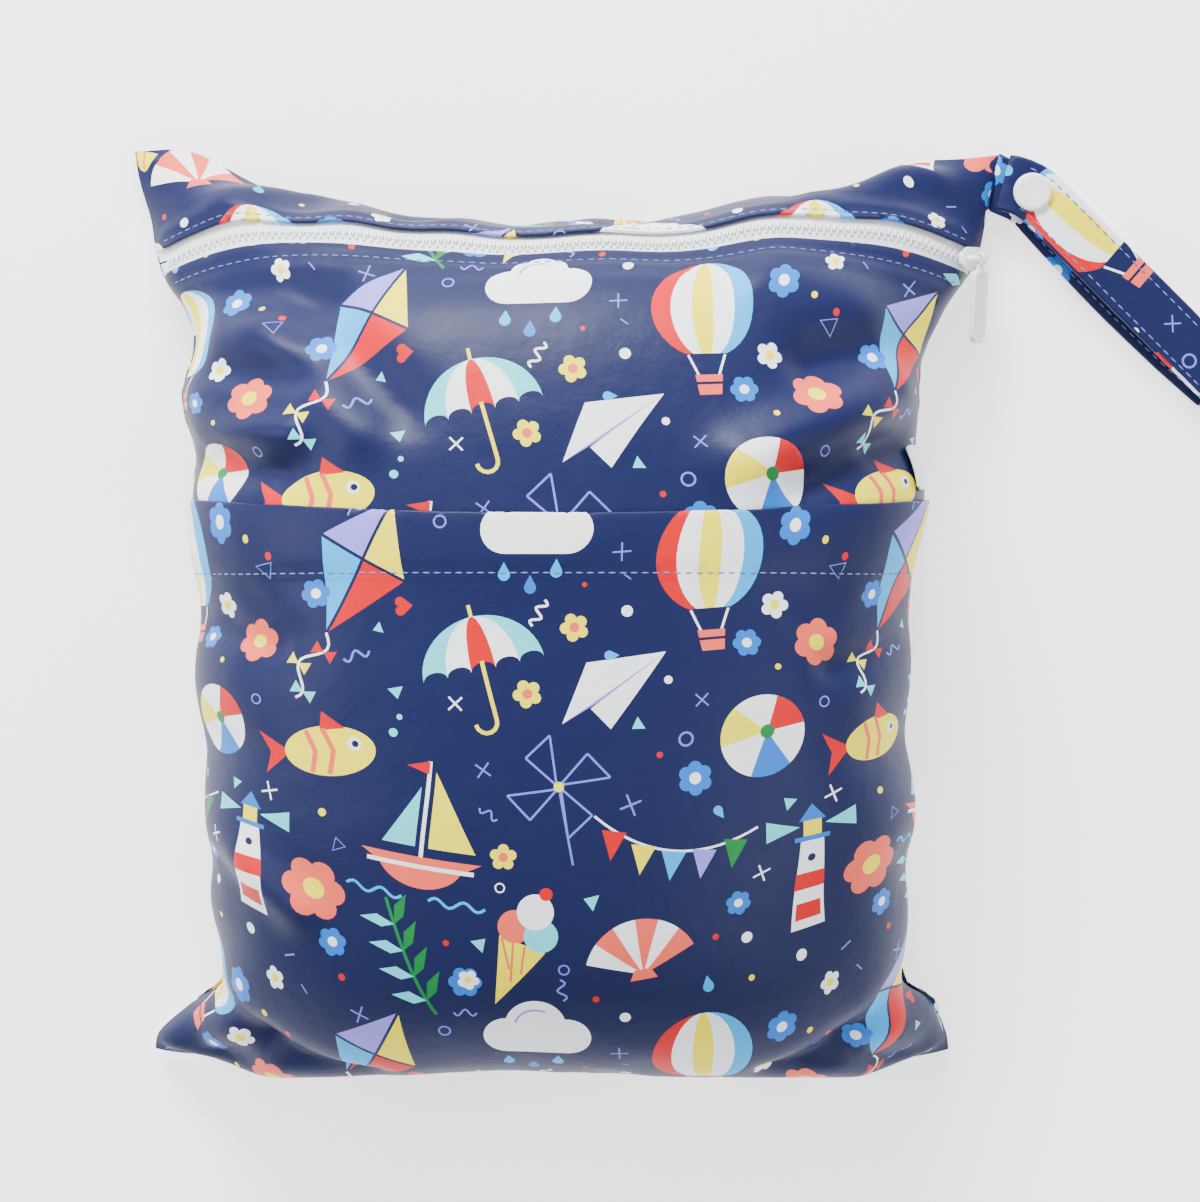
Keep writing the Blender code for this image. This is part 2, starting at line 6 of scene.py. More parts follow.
import bmesh
import bpy
import numpy as np
from mathutils import Matrix, Vector
from mathutils.geometry import delaunay_2d_cdt


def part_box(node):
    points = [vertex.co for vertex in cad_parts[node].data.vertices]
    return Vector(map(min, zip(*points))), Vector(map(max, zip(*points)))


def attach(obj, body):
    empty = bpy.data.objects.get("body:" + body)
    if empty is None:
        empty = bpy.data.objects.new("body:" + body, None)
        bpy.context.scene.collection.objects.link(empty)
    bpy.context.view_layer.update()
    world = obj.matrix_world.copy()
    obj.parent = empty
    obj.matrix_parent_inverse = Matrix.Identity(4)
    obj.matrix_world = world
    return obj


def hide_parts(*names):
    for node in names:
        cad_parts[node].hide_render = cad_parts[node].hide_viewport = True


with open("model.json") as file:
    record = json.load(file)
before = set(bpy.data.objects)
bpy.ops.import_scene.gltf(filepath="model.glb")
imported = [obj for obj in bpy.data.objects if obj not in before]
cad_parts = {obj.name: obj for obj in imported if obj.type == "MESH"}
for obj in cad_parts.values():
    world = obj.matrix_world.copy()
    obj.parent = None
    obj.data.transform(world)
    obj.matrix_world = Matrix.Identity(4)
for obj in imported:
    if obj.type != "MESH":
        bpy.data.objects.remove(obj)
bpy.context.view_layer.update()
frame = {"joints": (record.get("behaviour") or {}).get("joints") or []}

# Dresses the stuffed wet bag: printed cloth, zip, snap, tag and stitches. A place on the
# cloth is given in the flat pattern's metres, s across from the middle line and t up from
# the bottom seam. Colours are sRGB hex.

# The bag's form, the same table as the solids have. Widths are shares of half the bag's
# width, places along Y of half its length and heights of its thickness.
Section = namedtuple(
    "Section", "along side_y middle_y left right crown seam bend fullness ripple")
SECTIONS = (
    Section(0.000, -0.935, -0.933, 1.095, 1.098, 0.248, 0.038, 3.0, 1.50, -0.012),
    Section(0.024, -0.890, -0.954, 1.090, 1.085, 0.335, 0.050, 9.0, 1.35, -0.012),
    Section(0.052, -0.815, -0.962, 1.025, 1.045, 0.430, 0.086, 12.0, 1.10, -0.012),
    Section(0.113, -0.753, -0.935, 0.967, 0.975, 0.650, 0.152, 7.0, 0.90, -0.004),
    Section(0.203, -0.587, -0.773, 0.975, 0.979, 0.867, 0.267, 3.0, 0.85, 0.000),
    Section(0.322, -0.360, -0.480, 0.983, 0.983, 0.971, 0.333, 2.5, 0.85, 0.000),
    Section(0.439, -0.133, -0.180, 0.992, 0.992, 1.000, 0.362, 2.0, 0.85, 0.000),
    Section(0.567, 0.147, 0.147, 1.000, 0.996, 0.995, 0.362, 2.0, 0.85, 0.000),
    Section(0.618, 0.310, 0.277, 1.012, 1.025, 0.981, 0.352, 2.0, 0.85, 0.000),
    Section(0.714, 0.493, 0.520, 1.025, 1.014, 0.924, 0.324, 2.0, 0.87, 0.000),
    Section(0.798, 0.660, 0.720, 1.029, 1.022, 0.810, 0.267, 2.0, 0.90, 0.012),
    Section(0.877, 0.822, 0.846, 1.107, 1.155, 0.606, 0.157, 2.0, 1.35, 0.050),
    Section(0.900, 0.872, 0.891, 1.127, 1.185, 0.566, 0.130, 2.0, 1.43, 0.055),
    Section(0.951, 0.973, 0.930, 1.163, 1.217, 0.370, 0.086, 1.7, 1.45, 0.035),
    Section(1.000, 1.100, 0.930, 1.200, 1.258, 0.181, 0.048, 1.4, 1.40, 0.000),
)
# Folds as ridges or, below zero, creases: both ends across and along, width and height.
Fold = namedtuple("Fold", "across_a along_a across_b along_b width height")
FOLDS = (
    Fold(0.52, 0.665, 0.93, 0.735, 0.10, 0.045),
    Fold(0.66, 0.640, 0.97, 0.690, 0.07, -0.035),
    Fold(0.70, 0.760, 0.97, 0.800, 0.08, -0.040),
    Fold(0.55, 0.835, 0.90, 0.800, 0.09, 0.028),
    Fold(-0.66, 0.800, -0.42, 0.715, 0.09, -0.028),
    Fold(-0.80, 0.790, -0.55, 0.690, 0.09, 0.026),
    Fold(-0.96, 0.770, -0.70, 0.745, 0.06, -0.035),
    Fold(-0.97, 0.700, -0.72, 0.690, 0.06, 0.030),
    Fold(-0.97, 0.655, -0.74, 0.650, 0.06, -0.030),
    Fold(-0.97, 0.840, -0.60, 0.825, 0.07, -0.032),
    Fold(-0.98, 0.520, -0.78, 0.500, 0.06, -0.025),
    Fold(0.76, 0.480, 0.98, 0.500, 0.06, -0.025),
    Fold(-0.97, 0.300, -0.74, 0.250, 0.07, 0.025),
    Fold(-0.94, 0.120, -0.55, 0.085, 0.06, -0.040),
    Fold(0.95, 0.130, 0.62, 0.090, 0.06, -0.040),
    Fold(-0.90, 0.045, -0.84, 0.110, 0.05, -0.035),
    Fold(0.90, 0.045, 0.84, 0.110, 0.05, -0.035),
    Fold(-0.35, 0.945, -0.15, 0.985, 0.06, -0.030),
    Fold(0.10, 0.940, 0.22, 0.985, 0.06, -0.028),
    Fold(-0.80, 0.925, -0.60, 0.975, 0.07, 0.030),
    Fold(0.62, 0.930, 0.84, 0.970, 0.07, 0.030),
)
FOLD_DEPTH = 1.4
# Uneven places of the outline on the floor plan, in metres: place, move and reach
UNEVEN = (
    ((-0.122, 0.161), (0, 0.0058), 0.017), ((-0.087, 0.150), (0, -0.0018), 0.010),
    ((-0.068, 0.145), (0, 0.0015), 0.010), ((-0.033, 0.142), (0, 0.0022), 0.012),
    ((0.012, 0.139), (0, 0.0028), 0.022), ((0.068, 0.146), (0, 0.0040), 0.018),
    ((0.117, 0.160), (0, 0.0054), 0.017), ((-0.123, 0.084), (-0.0028, 0), 0.016),
    ((-0.118, -0.052), (0.0016, 0), 0.018), ((-0.114, -0.100), (0.0027, 0), 0.013),
    ((-0.130, -0.138), (-0.0045, 0), 0.011), ((0.124, 0.099), (0.0038, 0), 0.012),
    ((0.122, 0.030), (-0.0018, 0), 0.016), ((0.118, -0.017), (-0.0026, 0), 0.018),
    ((0.117, -0.066), (0.0016, 0), 0.016), ((0.122, -0.118), (0.0024, 0), 0.018),
    ((-0.020, -0.146), (0, 0.0016), 0.030), ((-0.100, -0.146), (0, -0.0014), 0.012),
    ((0.108, -0.144), (0, -0.0022), 0.013),
)
BOTTOM, TOP = SECTIONS[0], SECTIONS[-1]

BACK_LOW, BACK_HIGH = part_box("back_panel")
HALF_WIDTH = (BACK_HIGH.x - BACK_LOW.x) / (TOP.left + TOP.right)
HALF_LENGTH = BACK_HIGH.y / TOP.side_y
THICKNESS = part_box("front_panel")[1].z
SEAM_PUCKER = 0.0012
PUCKERS = 7
HALF_FLAT = 0.150            # half the width that the panels were cut to

# Distances up the cloth
POCKET_DEPTH = 0.237
HEM = 0.020
ZIP_DROP = 0.043
ZIP_STRIP = 0.0085
TAPE_WIDTH = 0.026
STITCH_BELOW_ZIP = 0.0050
STITCH_ABOVE_ZIP = 0.0027
STITCH_ABOVE_HEM = 0.0010

# Cloth
CURL = 0.0007                # radius of a folded edge
POCKET_LIFT = 0.0012
MOUTH_LIFT = 0.0012          # how much more the pocket stands off at its mouth
HEM_LIFT = 0.0006
FOLD_LIFT = 0.0007           # of the edges turned in along the zip
GRID = 0.0026                # between the points of the cloth's meshes
TAPE_DEPTH = 0.0016          # zip tape under the cloth's face

# Print, in millimetres: the size of one repeat, and where a repeat's corner lies on each
# piece. The pocket's print is the front's, further down.
TILE_WIDTH, TILE_HEIGHT = 190, 172
FRONT_PRINT, POCKET_PRINT, BAND_PRINT = (-95, -4), (-95, -90), (-60, 20)
BACK_PRINT, STRAP_PRINT = (-40, 30), (58, 60)

INK = {
    "navy": "#101845", "white": "#f6f7fa", "yellow": "#f7e600", "red": "#cf0a14",
    "cyan": "#0fa6ec", "aqua": "#5ad6e0", "blue": "#0a6fd0", "green": "#007a35",
    "lilac": "#8b84e6", "salmon": "#ee5f4a", "line": "#6a76dc", "dark": "#151a40",
}


def linear(hex_color):
    """An sRGB hex colour as linear values with full alpha."""
    values = [int(hex_color[place:place + 2], 16) / 255 for place in (1, 3, 5)]
    return [value / 12.92 if value <= 0.04045 else ((value + 0.055) / 1.055) ** 2.4
            for value in values] + [1.0]


def section(along):
    """Every column of the table at shares of the way up, by smooth cubic steps."""
    rows = np.array(SECTIONS)
    knots, last = rows[:, 0], len(rows) - 1
    low = np.clip(np.searchsorted(knots, along) - 1, 0, last - 1)
    high, below, above = low + 1, np.maximum(low - 1, 0), np.minimum(low + 2, last)
    span = (knots[high] - knots[low])[..., None]
    t = (along - knots[low])[..., None] / span
    slope_a = (rows[high] - rows[below]) / (knots[high] - knots[below])[..., None] * span
    slope_b = (rows[above] - rows[low]) / (knots[above] - knots[low])[..., None] * span
    mixed = (rows[low] * (2 * t ** 3 - 3 * t ** 2 + 1) + slope_a * (t ** 3 - 2 * t ** 2 + t)
             + rows[high] * (3 * t ** 2 - 2 * t ** 3) + slope_b * (t ** 3 - t ** 2))
    return Section(*np.moveaxis(mixed, -1, 0))


def half_width(row, across, along):
    share = np.where(across < 0, row.left, row.right)
    wave = np.sin(2 * math.pi * PUCKERS * along) * np.sin(math.pi * along)
    return share * HALF_WIDTH + SEAM_PUCKER * wave


def front_form(turn, along):
    """The front's outer face without folds. A turn of a quarter circle is a side seam."""
    row, across = section(along), np.sin(turn)
    y = row.middle_y + (row.side_y - row.middle_y) * np.abs(across) ** row.bend
    y = y + row.ripple * np.sin(math.pi * across ** 2)
    rise = np.maximum(np.cos(turn), 0) ** row.fullness
    z = row.seam + (row.crown - row.seam) * rise
    return np.stack((across * half_width(row, across, along), y * HALF_LENGTH,
                     z * THICKNESS), -1)


def back_form(turn, along):
    """The back's outer face, flat on the floor inside its turned-up rim."""
    row, across = section(along), np.sin(turn)
    bend = BOTTOM.bend + (TOP.bend - BOTTOM.bend) * along
    middle_y = BOTTOM.middle_y + (TOP.middle_y - BOTTOM.middle_y) * along
    y = (middle_y + (row.side_y - middle_y) * np.abs(across) ** bend) * HALF_LENGTH
    upright = np.maximum(np.cos(turn), 0)
    bottom_rise = (BOTTOM.crown - BOTTOM.seam) * upright ** BOTTOM.fullness
    top_rise = (TOP.crown - TOP.seam) * upright ** TOP.fullness
    level = THICKNESS * (row.seam + (1 - along) * bottom_rise + along * top_rise)
    nearness = upright ** 0.8 * np.maximum(np.sin(math.pi * along), 0) ** 0.6
    settle = 1 - (1 - np.minimum(1, nearness / 0.74)) ** 1.6
    return np.stack((across * half_width(row, across, along), y, level * (1 - settle)), -1)


FRONT_CLOTH = float(np.linalg.norm(
    np.diff(front_form(np.zeros(61), np.linspace(0, 1, 61)), axis=0), axis=1).sum())
ZIP = FRONT_CLOTH - ZIP_DROP
STRIP_LOW, STRIP_HIGH = ZIP - ZIP_STRIP / 2, ZIP + ZIP_STRIP / 2
LOWER_STITCHES, UPPER_STITCHES = STRIP_LOW - STITCH_BELOW_ZIP, STRIP_HIGH + STITCH_ABOVE_ZIP
POCKET_STITCHES = POCKET_DEPTH - HEM + STITCH_ABOVE_HEM

COLUMNS, ROWS = 73, 93       # points of the base grids across and up


def fold_heights(across, along):
    """How far the folds lift the cloth from its plain form."""
    run = FRONT_CLOTH / HALF_WIDTH
    lift = np.zeros_like(across)
    for fold in FOLDS:
        path_x, path_y = fold.across_b - fold.across_a, (fold.along_b - fold.along_a) * run
        x, y = across - fold.across_a, (along - fold.along_a) * run
        share = np.clip((x * path_x + y * path_y) / (path_x ** 2 + path_y ** 2), 0, 1)
        away = np.hypot(x - share * path_x, y - share * path_y) / fold.width
        lift += fold.height * np.exp(-away ** 2)
    edge_fade = (1 - np.abs(across) ** 10) * np.clip(
        np.minimum(along, 1 - along) / 0.03, 0, 1)
    return FOLD_DEPTH * THICKNESS * lift * edge_fade


def uneven(grid):
    """The grid moved a few millimetres where the bag's outline is uneven."""
    moved = grid.copy()
    for place, move, reach in UNEVEN:
        away = np.linalg.norm(grid[..., :2] - np.array(place), axis=-1) / reach
        moved[..., :2] += np.exp(-away ** 2)[..., None] * np.array(move)
    return moved


def grid_normals(points):
    """Directions out of a grid of points whose columns run in X and rows in Y."""
    across, up = np.gradient(points, axis=1), np.gradient(points, axis=0)
    out = np.cross(across, up)
    return out / np.maximum(np.linalg.norm(out, axis=-1, keepdims=True), 1e-12)


def base_grids():
    """Front and back points, evenly spaced along the cloth, with a shared border."""
    along = np.linspace(0, 1, ROWS)
    fine = np.linspace(-math.pi / 2, math.pi / 2, 241)
    dense = front_form(fine[None, :], along[:, None])
    steps = np.linalg.norm(np.diff(dense, axis=1), axis=2)
    walked = np.concatenate((np.zeros((ROWS, 1)), np.cumsum(steps, axis=1)), axis=1)
    turns = np.array([np.interp(np.linspace(0, row[-1], COLUMNS), row, fine)
                      for row in walked])
    share = np.repeat(along[:, None], COLUMNS, axis=1)
    front, back = front_form(turns, share), back_form(turns, share)
    for edge in (np.s_[0, :], np.s_[-1, :], np.s_[:, 0], np.s_[:, -1]):
        back[edge] = front[edge]
    return front, back, np.sin(turns), share


def closed_bag(front, back):
    """Vertices and quads of the front and back grids, sewn along their shared border."""
    ids = np.arange(ROWS * COLUMNS).reshape(ROWS, COLUMNS)
    inner = (ROWS - 2) * (COLUMNS - 2)
    back_ids = ids.copy()
    back_ids[1:-1, 1:-1] = ROWS * COLUMNS + np.arange(inner).reshape(ROWS - 2, COLUMNS - 2)
    points = np.concatenate((front.reshape(-1, 3), back[1:-1, 1:-1].reshape(-1, 3)))

    def quads(grid):
        return np.stack((grid[:-1, :-1], grid[:-1, 1:], grid[1:, 1:], grid[1:, :-1]),
                        -1).reshape(-1, 4)

    faces = np.concatenate((quads(ids), quads(back_ids)[:, ::-1]))
    return points, faces, back_ids


def smooth_grid(values, times):
    """The same grid, softened over its neighbours."""
    for _ in range(times):
        wide = np.pad(values, ((1, 1), (1, 1), (0, 0)), mode="edge")
        values = (4 * values + 2 * (wide[:-2, 1:-1] + wide[2:, 1:-1] + wide[1:-1, :-2]
                  + wide[1:-1, 2:]) + wide[:-2, :-2] + wide[:-2, 2:] + wide[2:, :-2]
                  + wide[2:, 2:]) / 16
    return values


SIM_FRAMES = 22
LARGEST_MOVE = 0.0050
NARROWER, SHORTER = 0.05, 0.10   # shares that the cut loses at its ends and at its sides


def wrinkle(front, back):
    """Let the sewn bag settle from its flat cut under the filling's pressure.

    Only the wrinkles are kept: the broad part of each move is taken out again."""
    points, faces, back_ids = closed_bag(front, back)
    mesh = bpy.data.meshes.new("settling_bag")
    mesh.from_pydata(points.tolist(), [], faces.tolist())
    bag = bpy.data.objects.new("settling_bag", mesh)
    bpy.context.scene.collection.objects.link(bag)
    bag.shape_key_add(name="filled")
    cut = bag.shape_key_add(name="cut")
    s, t = np.meshgrid(np.linspace(-1, 1, COLUMNS), np.linspace(-1, 1, ROWS))
    flat = np.stack((HALF_FLAT * s * (1 - NARROWER * np.abs(t) ** 3),
                     FRONT_CLOTH / 2 * t * (1 - SHORTER * s ** 2), np.zeros_like(s)), -1)
    cut_points = np.concatenate((flat.reshape(-1, 3), flat[1:-1, 1:-1].reshape(-1, 3)))
    cut.data.foreach_set("co", cut_points.ravel())
    cloth = bag.modifiers.new("cloth", "CLOTH")
    settings = cloth.settings
    settings.quality = 6
    settings.mass = 0.10
    settings.tension_stiffness = settings.compression_stiffness = 12
    settings.shear_stiffness = 6
    settings.bending_stiffness = 0.05
    settings.tension_damping = settings.compression_damping = settings.shear_damping = 8
    settings.air_damping = 4
    settings.use_pressure = True
    settings.uniform_pressure_force = 4.0
    settings.effector_weights.gravity = 0.0
    settings.rest_shape_key = cut
    cloth.collision_settings.use_collision = False
    cloth.point_cache.frame_start, cloth.point_cache.frame_end = 1, SIM_FRAMES
    scene = bpy.context.scene
    for step in range(1, SIM_FRAMES + 1):
        scene.frame_set(step)
    seen = bag.evaluated_get(bpy.context.evaluated_depsgraph_get())
    settled = np.zeros(len(points) * 3)
    seen.data.vertices.foreach_get("co", settled)
    move = settled.reshape(-1, 3) - points
    scene.frame_set(1)
    bpy.data.objects.remove(bag, do_unlink=True)
    moves = []
    for ids in (np.arange(ROWS * COLUMNS).reshape(ROWS, COLUMNS), back_ids):
        grid = move[ids]
        sharp = smooth_grid(grid - smooth_grid(grid, 40), 1)
        size = np.linalg.norm(sharp, axis=-1, keepdims=True)
        moves.append(sharp * np.tanh(size / LARGEST_MOVE) * LARGEST_MOVE
                     / np.maximum(size, 1e-9))
    return moves


def soft_step(value, low, high):
    share = np.clip((value - low) / (high - low), 0, 1)
    return share * share * (3 - 2 * share)


def bag_surfaces():
    """The front's and back's final grids, padded by one so that samples can be cubic."""
    front, back, across, along = base_grids()
    front_move, back_move = wrinkle(front, back)
    # The wrinkles fade towards the zip and its slider, and where the back lies flat
    to_zip_end = np.hypot((1 - across) * HALF_FLAT, (along * FRONT_CLOTH - ZIP))
    hold = soft_step(to_zip_end, 0.020, 0.045)[..., None]
    stiff_zip = soft_step(np.abs(along * FRONT_CLOTH - ZIP), 0.005, 0.022)[..., None]
    front = front + front_move * hold * (0.15 + 0.85 * stiff_zip)
    rim = soft_step(back[..., 2], 0.003, 0.015)[..., None] * hold
    back = back + back_move * rim
    back[..., 2] = np.maximum(back[..., 2], 0)
    for edge in (np.s_[0, :], np.s_[-1, :], np.s_[:, 0], np.s_[:, -1]):
        back[edge] = front[edge]
    front = front + grid_normals(front) * fold_heights(across, along)[..., None]
    return [np.pad(uneven(grid), ((1, 1), (1, 1), (0, 0)), mode="reflect",
                   reflect_type="odd") for grid in (front, back)]


FRONT, BACK = bag_surfaces()


def sample(grid, s, t):
    """Points of a padded grid at places on the cloth, by cubic steps both ways."""
    x = np.clip((s / HALF_FLAT + 1) / 2, 0, 1) * (COLUMNS - 1)
    y = np.clip(t / FRONT_CLOTH, 0, 1) * (ROWS - 1)
    column = np.clip(x.astype(int), 0, COLUMNS - 2)
    row = np.clip(y.astype(int), 0, ROWS - 2)

    def weights(f):
        return (-f + 2 * f ** 2 - f ** 3, 2 - 5 * f ** 2 + 3 * f ** 3,
                f + 4 * f ** 2 - 3 * f ** 3, -f ** 2 + f ** 3)

    across, up = weights(x - column), weights(y - row)
    total = 0
    for a in range(4):
        for b in range(4):
            total = total + (up[a] * across[b] / 4)[..., None] * grid[row + a, column + b]
    return total


def lay(grid, s, t, lift=0.0):
    """Points on the cloth raised by the lift, with the directions out of it and up it."""
    s, t = np.asarray(s, float), np.asarray(t, float)
    step = 0.0012
    point = sample(grid, s, t)
    across = sample(grid, np.minimum(s + step, HALF_FLAT), t) - sample(
        grid, np.maximum(s - step, -HALF_FLAT), t)
    up = sample(grid, s, np.minimum(t + step, FRONT_CLOTH)) - sample(
        grid, s, np.maximum(t - step, 0))
    out = np.cross(across, up)
    out /= np.maximum(np.linalg.norm(out, axis=-1, keepdims=True), 1e-12)
    up /= np.maximum(np.linalg.norm(up, axis=-1, keepdims=True), 1e-12)
    if grid is BACK:
        out = -out
    return point + out * np.broadcast_to(lift, s.shape)[..., None], out, up


# Doodles of the print, in millimetres round their own middle, as outlines with their inks

def arc(x, y, radius, start=0.0, end=360.0, squash=1.0):
    """Points round an arc, by degrees. A whole turn leaves out its last point."""
    count = max(6, int(abs(end - start) / 360 * max(12, radius * 4)))
    whole = abs(end - start) >= 360
    angles = [math.radians(start + (end - start) * step / count)
              for step in range(count if whole else count + 1)]
    return [(x + radius * math.cos(a), y + radius * squash * math.sin(a)) for a in angles]


def stroke(points, width):
    """The outline of a line drawn along the points."""
    left, right = [], []
    for index, (x, y) in enumerate(points):
        x0, y0 = points[max(index - 1, 0)]
        x1, y1 = points[min(index + 1, len(points) - 1)]
        size = math.hypot(x1 - x0, y1 - y0) or 1.0
        nx, ny = -(y1 - y0) / size * width / 2, (x1 - x0) / size * width / 2
        left.append((x + nx, y + ny))
        right.append((x - nx, y - ny))
    return left + right[::-1]


def loop_line(points, width, ink, inner):
    """A closed line: its outer outline in its ink and, on top, the inside's ink."""
    x0 = sum(x for x, _ in points) / len(points)
    y0 = sum(y for _, y in points) / len(points)
    reach = max(math.hypot(x - x0, y - y0) for x, y in points)
    keep = 1 - width / reach
    return [(points, ink),
            ([(x0 + (x - x0) * keep, y0 + (y - y0) * keep) for x, y in points], inner)]


def placed(outlines, x, y, turn, scale=1.0):
    """The outlines turned by radians, scaled and moved to a place."""
    cos, sin = math.cos(turn) * scale, math.sin(turn) * scale
    return [([(x + px * cos - py * sin, y + px * sin + py * cos) for px, py in points], ink)
            for points, ink in outlines]


def wave(x0, x1, y, height, waves):
    """Points along a level wavy line."""
    count = int(waves * 8)
    return [(x0 + (x1 - x0) * i / count, y + height * math.sin(math.tau * waves * i / count))
            for i in range(count + 1)]


def kite():
    corners = [(0, 27), (15, 6), (0, -22), (-15, 6)]
    inks = ("yellow", "red", "cyan", "lilac")
    parts = [([corners[i], corners[(i + 1) % 4], (0, 6)], inks[i]) for i in range(4)]
    parts.append((stroke([(0, 27), (0, -22)], 1.0), "navy"))
    parts.append((stroke([(-15, 6), (15, 6)], 1.0), "navy"))
    tail = [(3.2 * math.sin(i * 0.55), -22 - i * 1.6) for i in range(17)]
    parts.append((stroke(tail, 0.9), "white"))
    for i, ink in ((4, "red"), (9, "yellow"), (14, "aqua")):
        x, y = tail[i]
        parts.append(([(x, y), (x - 4, y + 2.4), (x - 4, y - 2.4)], ink))
        parts.append(([(x, y), (x + 4, y + 2.4), (x + 4, y - 2.4)], ink))
    return parts


def balloon():
    stripes = ((-1, -0.62, "red"), (-0.62, -0.2, "white"), (-0.2, 0.22, "yellow"),
               (0.22, 0.64, "white"), (0.64, 1, "cyan"))
    side = [(15 * math.sin(math.radians(turn)), 8 + 16 * math.cos(math.radians(turn)))
            for turn in range(6, 157, 10)]
    parts = [([(x * high, y) for x, y in side] + [(x * low, y) for x, y in reversed(side)],
              ink) for low, high, ink in stripes]
    for x in (-3, 3):
        parts.append((stroke([(x * 1.8, -7), (x, -13)], 0.7), "white"))
    parts.append(([(-4, -13), (4, -13), (3.2, -19), (-3.2, -19)], "salmon"))
    parts.append((stroke([(-3.7, -15.5), (3.7, -15.5)], 0.8), "dark"))
    return parts


def umbrella():
    """An open sunshade in five stripes with a scalloped rim."""
    dome = [(20 * math.sin(math.radians(a)), 18 * math.cos(math.radians(a)))
            for a in range(0, 91, 6)]
    parts = []
    for index, ink in enumerate(("aqua", "white", "red", "white", "aqua")):
        low, high = -20 + 8 * index, -12 + 8 * index
        right = [(x * high / 20, y) for x, y in dome]
        left = [(x * low / 20, y) for x, y in reversed(dome)]
        middle, half = (low + high) / 2, (high - low) / 2
        scallop = [(middle + half * math.cos(math.radians(a)), 2.6 * math.sin(
            math.radians(a))) for a in range(20, 161, 20)]
        parts.append((right + scallop + left, ink))
    hook = arc(-3.5, -17, 3.5, 0, -180)
    parts.append((stroke([(0, 3), (0, -17)] + hook[1:], 1.3), "yellow"))
    parts.append((stroke([(0, 18), (0, 22)], 1.2), "yellow"))
    return parts


def sailboat():
    hull = [(-18, -6), (18, -6)] + arc(0, -6, 13, -20, -160, 0.75)
    return [(hull, "salmon"), (stroke([(-16, -9), (16, -9)], 1.3), "white"),
            (stroke([(0, -6), (0, 23)], 1.2), "white"),
            ([(2, -3), (16, -3), (2, 20)], "yellow"), ([(-2, -3), (-12, -3), (-2, 15)],
                                                       "aqua"),
            ([(0, 23), (-7, 21), (0, 19)], "red"),
            (stroke(wave(-22, -5, -19, 1.2, 2), 0.9), "cyan"),
            (stroke(wave(3, 20, -19, 1.2, 2), 0.9), "cyan")]


def fish():
    body = arc(0, 0, 16, squash=0.55)
    return [([(-14, 0), (-25, 8), (-22, 0), (-25, -8)], "red"), (body, "yellow"),
            ([(-2, 7.5), (7, 7.5), (0, 14)], "red"),
            (stroke([(-7, 7.5), (-5, 0), (-7, -7.5)], 1.8), "salmon"),
            (stroke([(-1, 8), (1.4, 0), (-1, -8)], 1.8), "salmon"),
            (arc(9, 2, 2.4), "white"), (arc(9.4, 2, 1.2), "dark"),
            (arc(23, 5, 1.5), "aqua"), (arc(26, 10, 1.0), "aqua")]


def lighthouse():
    parts = [([(-7, -24), (7, -24), (4.6, 12), (-4.6, 12)], "white")]
    for y in (-17, -4.5):
        parts.append(([(-6.4 - y * 0.06, y - 3.4), (6.4 + y * 0.06, y - 3.4),
                       (6.0 + y * 0.06, y + 3.4), (-6.0 - y * 0.06, y + 3.4)], "red"))
    parts += [(stroke([(-7, 13), (7, 13)], 1.8), "blue"),
              ([(-3.6, 14), (3.6, 14), (3.6, 20), (-3.6, 20)], "yellow"),
              ([(-5.4, 20), (5.4, 20), (0, 26.5)], "blue"),
              ([(5, 18), (18, 22), (18, 14)], "aqua"), ([(-5, 18), (-18, 22), (-18, 14)],
                                                        "aqua"),
              (arc(0, 5, 1.6), "dark")]
    return parts


def cloud():
    parts = [(arc(-9, 0, 7.5), "white"), (arc(0, 5, 9.5), "white"),
             (arc(10, 0, 7.5), "white"),
             ([(-9, -7.5), (10, -7.5), (10, 2), (-9, 2)], "white"),
             (stroke(arc(0, 4.5, 6.4, 60, 170), 0.8), "lilac")]
    for x, y, ink in ((-9, -14, "cyan"), (-1, -18, "blue"), (7, -13, "cyan")):
        parts.append(([(x, y + 4)] + arc(x, y, 1.9, 20, -200), ink))
    return parts


def beach_ball():
    parts = [(arc(0, 0, 15), "white")]
    for start, ink in ((15, "red"), (135, "yellow"), (255, "blue")):
        parts.append(([(1.5, 1.5)] + arc(0, 0, 15, start, start + 58), ink))
    parts.append((arc(1.5, 1.5, 2.6), "green"))
    return parts


def flower(petal="salmon", middle="yellow", reach=9.0, petals=6):
    parts = []
    for step in range(petals):
        turn = math.tau * step / petals
        parts.append((arc(reach * 0.62 * math.cos(turn), reach * 0.62 * math.sin(turn),
                          reach * 0.42), petal))
    return parts + [(arc(0, 0, reach * 0.36), middle)]


def sprig():
    stem = [(0.012 * (y + 20) ** 2 / 3, y) for y in range(-20, 23, 3)]
    parts = [(stroke(stem, 1.1), "green")]
    for index in range(2, 13, 3):
        x, y = stem[index]
        for side in (-1, 1):
            leaf = [(x, y), (x + side * 4.5, y + 1), (x + side * 9.5, y + 7),
                    (x + side * 3.6, y + 5.4)]
            parts.append((leaf, "green" if side > 0 else "aqua"))
    return parts


def ice_cream():
    parts = [([(-8, 0), (8, 0), (0, -24)], "yellow")]
    for shift in (-4, 0, 4):
        parts.append((stroke([(shift - 3, -0.5), (shift * 0.5 + 1.5, -14 + abs(shift))],
                             0.7), "salmon"))
    return parts + [(arc(-4.4, 4.6, 5.6), "salmon"), (arc(4.6, 4.8, 5.6), "aqua"),
                    (arc(0, 11.6, 6.0), "white"), (arc(1, 18.4, 2.2), "red")]


